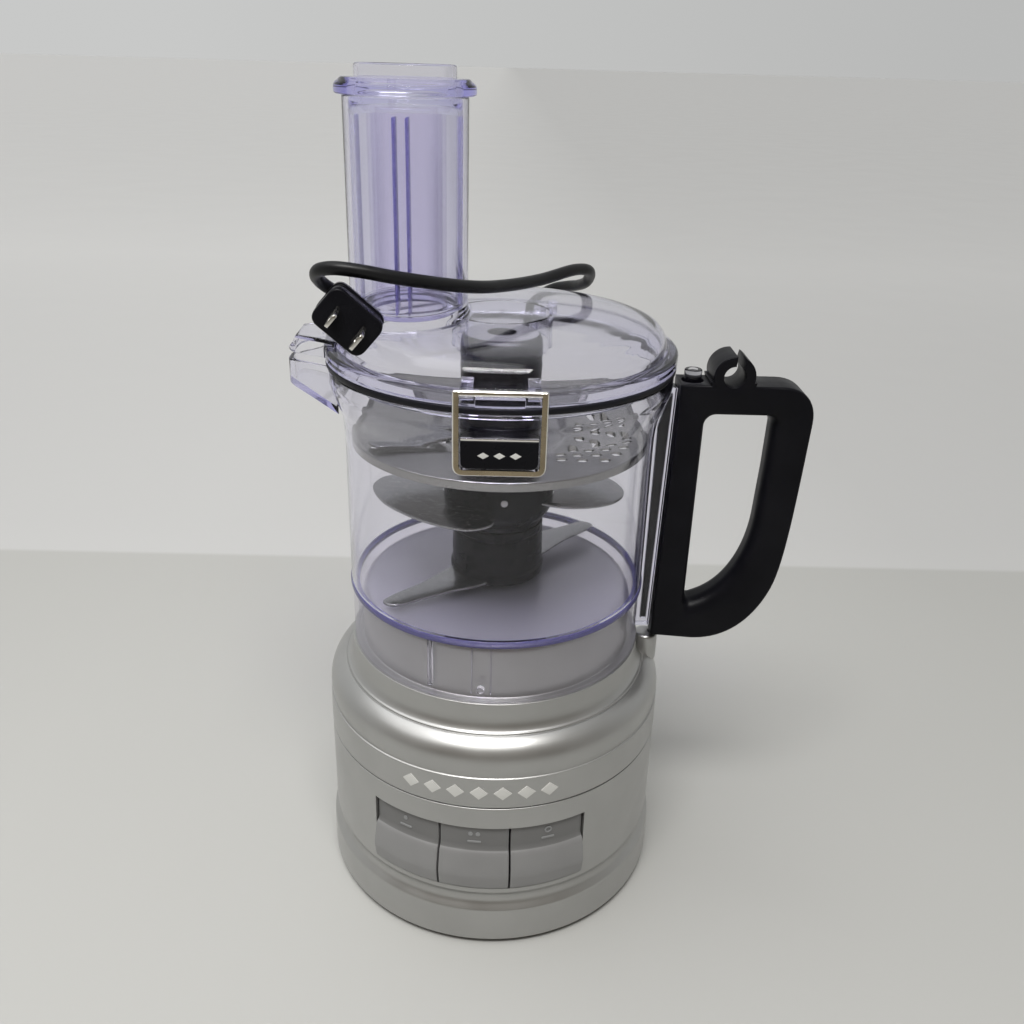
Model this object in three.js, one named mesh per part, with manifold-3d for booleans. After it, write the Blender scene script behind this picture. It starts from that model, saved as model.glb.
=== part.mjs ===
// Food processor, 7 cup class, stored with its tools in the bowl and its lead over the lid.
// Millimetres, +Z up. The drive axis is x = y = 0, the latch faces -Y, the handle +X, the spout -X.
import * as THREE from 'three';
import { mergeVertices } from 'three/addons/utils/BufferGeometryUtils.js';
import Module from 'manifold-3d';

const wasm = await Module();
wasm.setup();

// ---------------------------------------------------------------- driving dimensions
const GAP = 0.3; // between pieces that touch
const ROUND = 32; // sides of a large round piece
const SMALL = 14; // sides of a small round piece
const BASE = { radius: 92, wall: 90.2, inside: 86, under: 2, seam: 88.7 };
const COVER = { radius: 90.3, neck: 76.6, drum: 71, ledge: 140.6, top: 170 };
const BOWL = { floor: 174.2, skirt: 75.8, wall: 76.4, thick: 1.8, collar: 83, top: 287.9 };
const LID = { rim: 84, under: 291.5, top: 312, thick: 2.2 };
const TUBE = { x: -43.6, y: -4, halfX: 27.3, halfY: 34, top: 404.6, thick: 2 };
const SPINDLE = { radius: 5, hex: 4.9, shoulder: 226, top: 244 };
const MOTOR = { x: -30.7, y: 43.8, radius: 29 };
const HINGE = { y: 90, z: 289.5, radius: 3.6 };
const LATCH = { y: -90, z: 299.6, half: 19.3, bottom: 264.5, bar: 2.7 };
const CORD_RADIUS = 2.9;

// ---------------------------------------------------------------- colours
const finish = (color, roughness, metalness = 0, opacity = 1) => ({ color, roughness, metalness, opacity });
const SILVER = finish(0x8f8f8a, 0.35, 0.8);
const GREY = finish(0x77797b, 0.45);
const CLEAR = finish(0xc9c8e6, 0.06, 0, 0.35);
const BLACK = finish(0x131418, 0.4);
const RUBBER = finish(0x111113, 0.7);
const STEEL = finish(0xb9bbbd, 0.25, 1);
const CHROME = finish(0xdcdcdc, 0.08, 1);
const BRONZE = finish(0x9a7440, 0.4, 1);
const COPPER = finish(0x8a5a3c, 0.45, 0.7);
const BOARD = finish(0x1f4a2c, 0.6);
const CAST = finish(0x9a9da0, 0.5, 0.9);

const group = new THREE.Group();
group.name = 'food_processor';

// ---------------------------------------------------------------- solids
// Turns a closed geometry into a solid with its faces pointing out.
function solid(geometry) {
  geometry.deleteAttribute('normal');
  geometry.deleteAttribute('uv');
  const merged = mergeVertices(geometry, 1e-4);
  const at = merged.attributes.position.array;
  const triangles = [];
  let volume = 0;
  for (let i = 0; i < merged.index.count; i += 3) {
    const [a, b, c] = [0, 1, 2].map((k) => merged.index.getX(i + k));
    if (a === b || b === c || c === a) continue;
    triangles.push(a, b, c);
    const [p, q, r] = [a, b, c].map((k) => new THREE.Vector3(at[3 * k], at[3 * k + 1], at[3 * k + 2]));
    volume += p.dot(q.cross(r));
  }
  if (volume < 0) triangles.reverse();
  const mesh = new wasm.Mesh({
    numProp: 3,
    vertProperties: new Float32Array(at),
    triVerts: new Uint32Array(triangles),
  });
  return new wasm.Manifold(mesh);
}

const join = (first, ...others) => others.reduce((sum, next) => sum.add(next), first);
const cut = (first, ...others) => others.reduce((rest, next) => rest.subtract(next), first);

// A profile of [radius, height] points, turned round the drive axis or an axis beside it.
function turned(profile, sides = ROUND, x = 0, y = 0) {
  const points = profile.map(([r, z]) => new THREE.Vector2(r, z));
  const onAxis = profile[0][0] === 0 && profile.at(-1)[0] === 0;
  if (!onAxis) points.push(points[0].clone());
  const shape = new THREE.LatheGeometry(points, sides);
  return solid(shape.rotateX(Math.PI / 2).translate(x, y, 0));
}

const disc = (radius, low, high, x = 0, y = 0, sides = SMALL) =>
  turned([[0, low], [radius, low], [radius, high], [0, high]], sides, x, y);

const ring = (inner, outer, low, high, x = 0, y = 0, sides = SMALL) =>
  turned([[inner, low], [outer, low], [outer, high], [inner, high]], sides, x, y);

// An outline is a THREE.Shape or a list of points.
function extruded(outline, depth) {
  const isShape = outline instanceof THREE.Shape;
  const shape = isShape ? outline : new THREE.Shape(outline.map(([a, b]) => new THREE.Vector2(a, b)));
  return new THREE.ExtrudeGeometry(shape, { depth, bevelEnabled: false, curveSegments: 6 });
}

// An outline seen from above, between two heights.
const plate = (outline, low, high) => solid(extruded(outline, high - low).translate(0, 0, low));

// An outline in the XZ plane, from y = near to y = far.
const panel = (outline, near, far) =>
  solid(extruded(outline, far - near).rotateX(Math.PI / 2).translate(0, far, 0));

function box(x0, x1, y0, y1, z0, z1) {
  const block = new THREE.BoxGeometry(x1 - x0, y1 - y0, z1 - z0);
  return solid(block.translate((x0 + x1) / 2, (y0 + y1) / 2, (z0 + z1) / 2));
}

// A round bar along X.
function bar(radius, x0, x1, y, z, sides = SMALL) {
  const cylinder = new THREE.CylinderGeometry(radius, radius, x1 - x0, sides);
  return solid(cylinder.rotateZ(Math.PI / 2).translate((x0 + x1) / 2, y, z));
}

// A round bar along Y.
function spigot(near, far, y0, y1, x, z, sides = SMALL) {
  const cylinder = new THREE.CylinderGeometry(far, near, y1 - y0, sides);
  return solid(cylinder.translate(x, (y0 + y1) / 2, z));
}

const oval = (halfX, halfY, x, y) => new THREE.Shape().absellipse(x, y, halfX, halfY, 0, 2 * Math.PI);
const ovalPoints = (halfX, halfY, x = TUBE.x, y = TUBE.y, sides = 24) =>
  oval(halfX, halfY, x, y).getSpacedPoints(sides).slice(0, sides).map((p) => [p.x, p.y]);

// A point at an angle from the front, counted towards the handle, in degrees.
function around(angle, radius) {
  const turn = THREE.MathUtils.degToRad(angle);
  return [radius * Math.sin(turn), -radius * Math.cos(turn)];
}

// The wedge between two such angles.
function wedge(from, to, low, high) {
  const reach = 110;
  const rim = [from, (from + to) / 2, to].map((angle) => around(angle, reach));
  return plate([[0, 0], ...rim], low, high);
}

const turnedBy = (piece, degrees) => piece.rotate([0, 0, degrees]);

function add(name, body, look) {
  const { vertProperties, triVerts } = body.getMesh();
  const geometry = new THREE.BufferGeometry();
  geometry.setAttribute('position', new THREE.BufferAttribute(new Float32Array(vertProperties), 3));
  geometry.setIndex(new THREE.BufferAttribute(new Uint32Array(triVerts), 1));
  geometry.computeVertexNormals();
  const material = new THREE.MeshStandardMaterial({ ...look, transparent: look.opacity < 1 });
  const mesh = new THREE.Mesh(geometry, material);
  mesh.name = name;
  group.add(mesh);
}

// ---------------------------------------------------------------- base housing
const SCREW_ANGLES = [50, 160, 290]; // from the front, towards the handle
const SCREW_RADIUS = 80.5;
const PANEL = { low: 36.9, high: 76.5, from: -41.2, to: 31.4 };

function housing() {
  const shell = turned([
    [BASE.inside, BASE.under], [90.6, BASE.under], [92, 3.4], [BASE.radius, 23], [91, 24.6], [88.7, 27.4],
    [88.5, 30.4], [89.4, 32.6], [BASE.wall, 34], [BASE.wall, BASE.seam], [BASE.inside, BASE.seam],
  ]);
  const posts = SCREW_ANGLES.map((angle) => {
    const [x, y] = around(angle, SCREW_RADIUS);
    return disc(5.8, 6, 29.7, x, y, 16);
  });
  const screws = SCREW_ANGLES.map((angle) => {
    const [x, y] = around(angle, SCREW_RADIUS);
    return disc(1.9, 5, 31, x, y, 12);
  });
  const window = wedge(PANEL.from, PANEL.to, PANEL.low, PANEL.high);
  const leadHole = spigot(6.2, 6.2, 80, 96, 0, 17);
  const inside = disc(BASE.radius, BASE.under - 1, BASE.seam, 0, 0, ROUND);
  return cut(join(shell, ...posts.map((post) => post.intersect(inside))), ...screws, window, leadHole);
}
add('base_body', housing(), SILVER);

function topCover() {
  const shell = turned([
    [83.5, 83.7], [85.6, 83.7], [85.6, BASE.seam + 0.5], [COVER.radius, BASE.seam + 0.5], [90, 106.8],
    [89.4, 107.8], [89.9, 113], [89.1, 117.4], [87, 121.2], [84.2, 124], [81.4, 125.6], [80.4, 126.2],
    [78.2, 129], [77, 134], [COVER.neck, COVER.ledge],
    [COVER.drum, COVER.ledge], [COVER.drum, 166.5], [67.6, COVER.top], [9, COVER.top], [9, 160], [12, 160],
    [12, 167.3], [68.3, 166], [68.3, 138.4], [74, 138.2], [75.4, 127.5], [82.6, 121.4], [86.6, 117], [87.6, 113],
    [87.6, 92.4], [83.5, 88],
  ]);
  const tower = disc(6.5, 116, 136.5, 82.5, 0);
  const outline = join(tower.subtract(disc(74, 100, 150, 0, 0, ROUND)), shell);
  return cut(outline, disc(2.2, 127.5, 140, 85.5, 0, 12));
}
add('base_top_cover', topCover(), SILVER);

const FEET = [45, 135, 225, 315];
function bottomPlate() {
  const sheet = turned([[0, 0], [14, 0], [14.5, BASE.under], [85.5, BASE.under], [85.5, 5.6], [0, 5.6]]);
  const pockets = FEET.map((angle) => disc(8.3, 0, 4, ...around(angle, 66)));
  const bores = SCREW_ANGLES.map((angle) => disc(1.9, 1, 7, ...around(angle, SCREW_RADIUS), 12));
  const heads = SCREW_ANGLES.map((angle) => disc(4, 1, 4, ...around(angle, SCREW_RADIUS), 12));
  const vents = [-24, -12, 0, 12, 24].map((x) => box(x - 2, x + 2, 24, 56, -1, 8));
  return cut(sheet, ...pockets, ...bores, ...heads, ...vents);
}
add('bottom_plate', bottomPlate(), BLACK);

FEET.forEach((angle, i) => add(`foot_${i + 1}`, disc(8, 0, 3.7, ...around(angle, 66)), RUBBER));
SCREW_ANGLES.forEach((angle, i) => {
  const [x, y] = around(angle, SCREW_RADIUS);
  add(`base_screw_${i + 1}`, join(disc(3.6, 2.2, 3.7, x, y, 12), disc(1.5, 3.5, 26, x, y, 12)), STEEL);
});

// ---------------------------------------------------------------- drive in the base
function chassis() {
  const sheet = disc(85.5, 30, 33.4, 0, 0, ROUND);
  const sleeve = disc(12, 31, 60, 0, 0);
  const motorHole = disc(7, 20, 40, MOTOR.x, MOTOR.y);
  return cut(join(sheet, sleeve), disc(9, 20, 70, 0, 0), motorHole);
}
add('chassis_plate', chassis(), CAST);
add('spindle_bush_lower', ring(5.3, 8.7, 31, 42), BRONZE);
add('spindle_bush_upper', ring(5.3, 8.7, 48, 59), BRONZE);

function spindle() {
  const shaft = disc(SPINDLE.radius, 11, SPINDLE.shoulder);
  const drive = disc(SPINDLE.hex, SPINDLE.shoulder - 1, SPINDLE.top, 0, 0, 6);
  return join(shaft, drive);
}
add('drive_spindle', spindle(), STEEL);
add('spindle_seal', ring(5.4, 8.7, 161, 169.6), RUBBER);

const PULLEY = { low: 14, high: 28, large: 36, small: 9, flange: 3 };
const pulley = (bore, groove, x = 0, y = 0, sides = 32) => turned([
  [bore, PULLEY.low], [groove + PULLEY.flange, PULLEY.low], [groove + PULLEY.flange, PULLEY.low + 1.7],
  [groove, PULLEY.low + 1.7], [groove, PULLEY.high - 1.7], [groove + PULLEY.flange, PULLEY.high - 1.7],
  [groove + PULLEY.flange, PULLEY.high], [bore, PULLEY.high],
], sides, x, y);
add('large_pulley', pulley(SPINDLE.radius + GAP, PULLEY.large, 0, 0, ROUND), BLACK);
add('small_pulley', pulley(4 + GAP, PULLEY.small, MOTOR.x, MOTOR.y, SMALL), BLACK);

// The belt is the outline of both pulleys, one thickness out.
function beltLoop(offset) {
  const reach = Math.hypot(MOTOR.x, MOTOR.y);
  const towards = Math.atan2(MOTOR.y, MOTOR.x);
  const big = PULLEY.large + offset;
  const small = PULLEY.small + offset;
  const open = Math.acos((big - small) / reach);
  const points = [];
  const steps = 24;
  for (let i = 0; i <= steps; i += 1) {
    const angle = towards + open + ((2 * Math.PI - 2 * open) * i) / steps;
    points.push([big * Math.cos(angle), big * Math.sin(angle)]);
  }
  for (let i = 0; i <= steps / 2; i += 1) {
    const angle = towards - open + (2 * open * i) / (steps / 2);
    points.push([MOTOR.x + small * Math.cos(angle), MOTOR.y + small * Math.sin(angle)]);
  }
  return points;
}
add('drive_belt', cut(plate(beltLoop(2.4), 16.2, 25.8), plate(beltLoop(0.5), 15, 27)), RUBBER);

add('motor_stator', ring(21, MOTOR.radius, 33.8, 84, MOTOR.x, MOTOR.y, 32), COPPER);
const rotor = join(disc(20.2, 37, 81, MOTOR.x, MOTOR.y), disc(4, 11, 96, MOTOR.x, MOTOR.y));
add('motor_rotor', rotor, STEEL);
add('motor_end_cap', ring(4 + GAP, MOTOR.radius, 84.3, 87.6, MOTOR.x, MOTOR.y, 32), CAST);

// ---------------------------------------------------------------- buttons and switches
const BUTTONS = [
  { name: 'low', from: -40.8, to: -17.1 },
  { name: 'high', from: -16.5, to: 5.8 },
  { name: 'pulse', from: 6.4, to: 31 },
];
const PANEL_MIDDLE = -5.35;
const SWITCH_FACE = 64.2; // from the drive axis to the switches' plane front

function button({ from, to }) {
  const face = turned([
    [83.6, 37.4], [90.4, 37.4], [91.6, 38.6], [92.9, 46.8], [92.4, 52], [91.2, 57], [90, 60],
    [88.9, 62.4], [88.9, 76.1], [83.6, 76.1],
  ], 90);
  const key = face.intersect(wedge(from, to, 30, 80));
  const middle = (from + to) / 2;
  const slant = Math.cos(THREE.MathUtils.degToRad(middle - PANEL_MIDDLE));
  const stemEnd = (SWITCH_FACE + 2) / slant + 1.5;
  const stem = spigot(3.2, 3.2, -86, -stemEnd, 0, 52, 12);
  return join(key, turnedBy(stem, middle));
}
BUTTONS.forEach((key) => add(`button_${key.name}`, button(key), GREY));
BUTTONS.forEach((key) => {
  const side = SWITCH_FACE * Math.tan(THREE.MathUtils.degToRad((key.from + key.to) / 2 - PANEL_MIDDLE));
  const body = box(side - 6, side + 6, -SWITCH_FACE, -60, 45, 59);
  add(`switch_${key.name}`, turnedBy(body, PANEL_MIDDLE), BLACK);
});
add('control_board', turnedBy(box(-36, 36, -59.7, -58.1, 41, 77), PANEL_MIDDLE), BOARD);
add('interlock_switch', box(58, 66, -6, 6, 118, 132), BLACK);

// ---------------------------------------------------------------- lead entry
const GLAND_END = 117.4;
function gland() {
  const flange = spigot(8, 8, 81, 84.6, 0, 17);
  const neck = spigot(5.8, 5.8, 84, 93, 0, 17);
  const sleeve = spigot(5.6, 3.9, 92.4, GLAND_END, 0, 17);
  return join(flange, neck, sleeve);
}
add('lead_gland', gland(), RUBBER);

// ---------------------------------------------------------------- bowl
const SPOUT = { tip: -102, root: 24, nose: 9 };

function spoutOutline(inset) {
  const shape = new THREE.Shape();
  const tip = SPOUT.tip + inset;
  const nose = SPOUT.nose - inset;
  shape.moveTo(-74, SPOUT.root - inset);
  shape.lineTo(tip + 6, nose);
  shape.quadraticCurveTo(tip, nose, tip, 0);
  shape.quadraticCurveTo(tip, -nose, tip + 6, -nose);
  shape.lineTo(-74, -SPOUT.root + inset);
  return shape;
}

// The lip's underside slopes up from the wall to the tip.
const underSlope = (drop) => panel([
  [-120, 240], [-60, 240], [-60, 260 + drop], [-80, 266 + drop], [-97, 274.6 + drop],
  [-104, 276.8 + drop], [-120, 276.8 + drop],
], -40, 40);

// A hinge lug: a knuckle with the pin's bore, on an arm that ends at the given circle.
function hingeLug(near, far, low, high, clear) {
  const arm = box(near, far, 76, HINGE.y, low, high);
  const knuckle = bar(HINGE.radius, near, far, HINGE.y, HINGE.z);
  const bore = bar(1.8, near - 1, far + 1, HINGE.y, HINGE.z);
  return cut(join(arm, knuckle), bore, disc(clear, 270, 310, 0, 0, ROUND));
}

function bowlShell() {
  const inner = BOWL.wall - BOWL.thick;
  const shell = turned([
    [73.6, 140.9], [BOWL.skirt, 140.9], [BOWL.skirt, 171.6], [76.6, 172.6], [76.6, 175.4],
    [BOWL.wall, 176.4], [76.2, 258], [77.6, 266], [80.6, 273], [82.6, 279.5], [BOWL.collar, 281],
    [BOWL.collar, BOWL.top],
    [80.6, BOWL.top], [80.4, 281], [78.4, 274.4], [75.6, 267], [inner, 258], [inner, 177.4],
    [72.4, BOWL.floor],
    [8.2, BOWL.floor], [8.2, 226], [6.2, 226], [6.2, 172.2], [73.6, 172.2],
  ]);
  const cavity = disc(79.4, 200, 300, 0, 0, ROUND);
  const spout = plate(spoutOutline(0), 250, BOWL.top).subtract(cavity).subtract(underSlope(0));
  const channel = plate(spoutOutline(2), 250, BOWL.top + 5).subtract(underSlope(2.4));
  const reach = box(-101, -70, -16, 16, 280, 300);
  const fin = panel([[75.4, 142], [83.2, 142], [86.2, 277], [80.5, 277], [75.4, 258]], -4, 4);
  const lugs = [[-25, -20], [20, 25]].map(([near, far]) => hingeLug(near, far, 280.4, 287.6, 80.8));
  const catchRib = box(-12, 12, -87.6, -78, 273, 277).subtract(disc(79, 270, 300, 0, 0, ROUND));
  const rib = box(-33.5, -31.6, -69.8, -67.6, 145, 172.4);
  const mouth = plate(spoutOutline(2), 282, BOWL.top + 5);
  const lip = spout.subtract(channel.intersect(reach));
  return join(shell.subtract(mouth), lip, fin, ...lugs, catchRib, rib);
}
add('bowl_shell', bowlShell(), CLEAR);
[-1, 1].forEach((side, i) => {
  const [near, far] = side < 0 ? [-31, -19.6] : [19.6, 31];
  add(`hinge_pin_${i + 1}`, bar(1.5, near, far, HINGE.y, HINGE.z, 12), STEEL);
});

// ---------------------------------------------------------------- handle and interlock
const CLIP = { x: 112, z: 284.4, outer: 10.2, inner: 5.4 };
const DEPTH = 10; // half the handle's thickness

function handleOutline() {
  const shape = new THREE.Shape();
  shape.moveTo(83.5, 139.8);
  shape.lineTo(107, 138.4);
  shape.bezierCurveTo(124, 138.6, 136, 150, 144, 167);
  shape.bezierCurveTo(150, 180, 151, 205, 153, 264);
  shape.bezierCurveTo(153, 274, 146, 280, 136, 280);
  shape.lineTo(86.5, 280);
  return shape;
}

function handleHole() {
  const hole = new THREE.Shape();
  hole.moveTo(106, 265);
  hole.lineTo(130, 265);
  hole.quadraticCurveTo(134.6, 265, 134.6, 260);
  hole.lineTo(132.5, 208);
  hole.bezierCurveTo(131, 186, 122, 168, 107, 161);
  hole.quadraticCurveTo(100.4, 158.5, 100.4, 166);
  hole.lineTo(100.4, 259);
  hole.quadraticCurveTo(100.4, 265, 106, 265);
  return hole;
}

// The interlock rod runs down the handle's inner edge; its channel is the same outline, grown.
const rodOutline = (grow, stretch) => [
  [84.3 - grow, 131.5 - stretch], [86.7 + grow, 131.5 - stretch], [86.7 + grow, 144 - grow],
  [91.2 + grow, 270 - stretch], [97.4 + grow, 270 - stretch], [97.4 + grow, 273 + grow],
  [88.6 - grow, 273 + grow], [84.3 - grow, 144 - grow],
];

function handle() {
  const grip = panel(handleOutline(), -DEPTH, DEPTH);
  const clipDisc = spigot(CLIP.outer, CLIP.outer, -DEPTH, DEPTH, CLIP.x, CLIP.z, 28);
  const saddle = box(CLIP.x - 11, CLIP.x + 11, -DEPTH, DEPTH, 276, 281.5);
  const bore = spigot(CLIP.inner, CLIP.inner, -DEPTH - 1, DEPTH + 1, CLIP.x, CLIP.z);
  const mouth = panel([
    [CLIP.x - 0.6, CLIP.z + 1], [CLIP.x + 3.4, CLIP.z + 1],
    [CLIP.x + 5.6, CLIP.z + 14], [CLIP.x + 1, CLIP.z + 14],
  ], -DEPTH - 1, DEPTH + 1);
  const channel = panel(rodOutline(0.5, 3), -1.8, 1.8);
  const buttonBore = disc(4.6, 270, 290, 93.5, 0);
  const buttonSeat = disc(5.7, 267, 276.3, 93.5, 0);
  const springSeat = disc(3.1, 262.6, 268, 94.7, 0);
  const hole = panel(handleHole(), -DEPTH - 1, DEPTH + 1);
  const body = join(grip.subtract(hole), clipDisc, saddle);
  return cut(body, bore, mouth, channel, buttonBore, buttonSeat, springSeat);
}
add('handle', handle(), BLACK);
add('interlock_rod', panel(rodOutline(0, 0), -1.3, 1.3), finish(0xd9d9d4, 0.5));
add('interlock_button', join(disc(4.3, 273.3, 285.6, 93.5, 0), disc(5.3, 273.3, 275.9, 93.5, 0)), GREY);
add('rod_spring', ring(1.8, 2.6, 263, 269.7, 94.7, 0, 16), STEEL);

// ---------------------------------------------------------------- lid
function lidShell() {
  const dome = turned([
    [76, 284.2], [78.2, 284.2], [78.2, LID.under], [LID.rim, LID.under], [LID.rim, 296.4], [83.2, 297.4],
    [78.8, 297.8], [78.2, 301], [76.8, 304.6], [73.6, 307.6], [69, 309.4], [60, 310.8], [0, LID.top],
    [0, LID.top - LID.thick], [60, 308.6], [68.4, 307.2], [72.4, 305.6], [75, 303], [76, 300],
  ]);
  const tube = plate(ovalPoints(TUBE.halfX, TUBE.halfY), 309.5, TUBE.top);
  const bore = plate(ovalPoints(TUBE.halfX - TUBE.thick, TUBE.halfY - TUBE.thick), 300, TUBE.top + 2);
  const rim = disc(77.5, 280, 310, 0, 0, ROUND);
  const noseSlope = panel([[-110, 288.6], [-96, 303], [-110, 303]], -40, 40);
  const nose = cut(plate(spoutOutline(0.6), LID.under, 300), rim, noseSlope);
  const bosses = [[-16.2, -10.8], [10.8, 16.2]].map(([near, far]) => {
    const arm = box(near, far, LATCH.y, -77, 296.8, 302.4);
    const knuckle = bar(2.8, near, far, LATCH.y, LATCH.z);
    const pivotBore = bar(1.7, near - 1, far + 1, LATCH.y, LATCH.z);
    return cut(join(arm, knuckle), pivotBore, rim);
  });
  const tab = box(-10.4, 10.2, -87.8, -80, 292.4, 296.2).subtract(disc(80, 280, 310, 0, 0, ROUND));
  const lugs = [[-31, -25.3], [25.3, 31]].map(([near, far]) => hingeLug(near, far, 292, 295.8, 77.5));
  return cut(join(dome, tube, nose, ...bosses, tab, ...lugs), bore);
}
add('lid_shell', lidShell(), CLEAR);
add('lid_gasket', ring(79, 83.8, 288.2, 291.2, 0, 0, ROUND), RUBBER);

// ---------------------------------------------------------------- latch
function bail() {
  const { half, bottom, bar: width } = LATCH;
  const outline = new THREE.Shape();
  const corner = 4.4;
  outline.moveTo(-half, LATCH.z + 1.35);
  outline.lineTo(-half, bottom + corner);
  outline.quadraticCurveTo(-half, bottom, -half + corner, bottom);
  outline.lineTo(half - corner, bottom);
  outline.quadraticCurveTo(half, bottom, half, bottom + corner);
  outline.lineTo(half, LATCH.z + 1.35);
  outline.lineTo(half - width, LATCH.z + 1.35);
  outline.lineTo(half - width, bottom + corner);
  outline.quadraticCurveTo(half - width, bottom + width, half - corner, bottom + width);
  outline.lineTo(-half + corner, bottom + width);
  outline.quadraticCurveTo(-half + width, bottom + width, -half + width, bottom + corner);
  outline.lineTo(-half + width, LATCH.z + 1.35);
  const legs = panel(outline, LATCH.y - 1.5, LATCH.y + 1.5);
  return join(legs, bar(1.35, -half + 1, half - 1, LATCH.y, LATCH.z, 16));
}
add('latch_bail', bail(), CHROME);
add('latch_badge', box(-15.9, 15.9, LATCH.y - 1.1, LATCH.y + 1.3, 267.6, 279.8), BLACK);

// ---------------------------------------------------------------- pushers
function pusher() {
  const outer = plate(ovalPoints(TUBE.halfX - 2.6, TUBE.halfY - 2.6), 313, 408);
  const flange = plate(ovalPoints(30.6, 37), 405, 409.4);
  const shoulder = plate(ovalPoints(27.4, 33.6), 409, 411.6);
  const collar = disc(22, 411, 417, TUBE.x, TUBE.y, 32);
  const hollow = plate(ovalPoints(TUBE.halfX - 4.6, TUBE.halfY - 4.6), 315.2, 406);
  const mouth = disc(20.2, 400, 420, TUBE.x, TUBE.y, 32);
  const sleeve = disc(17.6, 313, 398, TUBE.x, TUBE.y, 24);
  const sleeveBore = disc(16, 310, 400, TUBE.x, TUBE.y, 24);
  const shell = cut(join(outer, flange, shoulder, collar), hollow, mouth);
  return join(shell, sleeve).subtract(sleeveBore);
}
add('pusher', pusher(), CLEAR);

function innerPusher() {
  const tube = disc(15.5, 313.4, 399.5, TUBE.x, TUBE.y, 24);
  const cap = disc(19.6, 398.6, 401, TUBE.x, TUBE.y, 28);
  const tab = box(TUBE.x - 7, TUBE.x - 4.6, TUBE.y - 6, TUBE.y + 6, 400, 408);
  const bore = disc(13.9, 315.4, 402, TUBE.x, TUBE.y, 24);
  const web = box(TUBE.x - 15, TUBE.x - 4.6, TUBE.y - 1, TUBE.y + 1, 398.6, 401);
  return join(join(tube, cap).subtract(bore), web, tab);
}
add('small_pusher', innerPusher(), CLEAR);

// ---------------------------------------------------------------- tools on the spindle
function adapter() {
  const stem = disc(12.4, 174.8, 249.6, 0, 0, 24);
  const bore = disc(8.6, 170, 226.6, 0, 0, 24);
  const socket = disc(SPINDLE.hex + 0.4, 220, SPINDLE.top + 0.6, 0, 0, 6);
  return cut(stem, bore, socket);
}
add('drive_adapter', adapter(), BLACK);

const HUB = { low: 23.5, high: 28, bore: 12.8 };
add('lower_hub', turned([
  [HUB.bore, 175], [22, 175], [HUB.low + 0.8, 176.6], [HUB.low + 0.8, 180.4], [HUB.low, 181.6],
  [HUB.low, 204.7], [HUB.bore, 204.7],
], 32), BLACK);
const upperHub = turned([
  [HUB.bore, 205], [22.8, 205], [23.4, 208], [26.4, 211], [HUB.high - 0.6, 214], [HUB.high, 218],
  [HUB.high, 238], [26.6, 247.6], [HUB.bore, 247.6],
], 32);
const lug = box(26, 31.6, -3, 3, 226, 231).rotate([0, 0, -18]);
add('upper_hub', join(upperHub, lug), BLACK);

// A blade is half of an outline of [x, y] points, and its twin is turned half round.
function blade(points, low, thick, clear) {
  const edge = new THREE.SplineCurve(points.map(([x, y]) => new THREE.Vector2(x, y)));
  const outline = edge.getPoints(26).map((p) => [p.x, p.y]);
  return plate(outline, low, low + thick).subtract(disc(clear, low - 2, low + thick + 2, 0, 0, 32));
}
const UPPER_BLADE = [
  [-12, 14], [-34, 22], [-56, 16], [-64.5, 2], [-58, -18], [-44, -34], [-30, -44], [-14, -49.5], [-3, -44],
  [-2, -20],
];
const LOWER_BLADE = [
  [-14, 4], [-25, -10], [-38, -27], [-52, -41], [-54.5, -46], [-49, -49.5], [-36, -42], [-22, -34],
  [-6, -26], [0, -12],
];
[0, 180].forEach((turn, i) => {
  add(`upper_blade_${i + 1}`, turnedBy(blade(UPPER_BLADE, 219, 1.4, HUB.high + GAP), turn), STEEL);
  add(`lower_blade_${i + 1}`, turnedBy(blade(LOWER_BLADE, 177.4, 1.6, HUB.low + 0.8 + GAP), turn), STEEL);
});

function toolDisc() {
  const sheet = turned([
    [19, 250.4], [31, 250.4], [34, 251.6], [70.6, 251.6], [70.6, 249.8], [73.2, 249.8], [73.2, 254.4],
    [70.6, 252.9], [33.6, 252.9], [30.6, 251.7], [19, 251.7],
  ]);
  const slot = box(26, 66, -2, 3, 245, 260).rotate([0, 0, 205]);
  return cut(sheet, slot);
}
add('slicing_disc', toolDisc(), STEEL);
add('disc_hub', turned([
  [0, 252], [20.5, 252], [20.5, 255.5], [19.6, 257], [19.6, 298.6], [18.2, 300.5], [0, 300.5],
], 32), BLACK);

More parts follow.
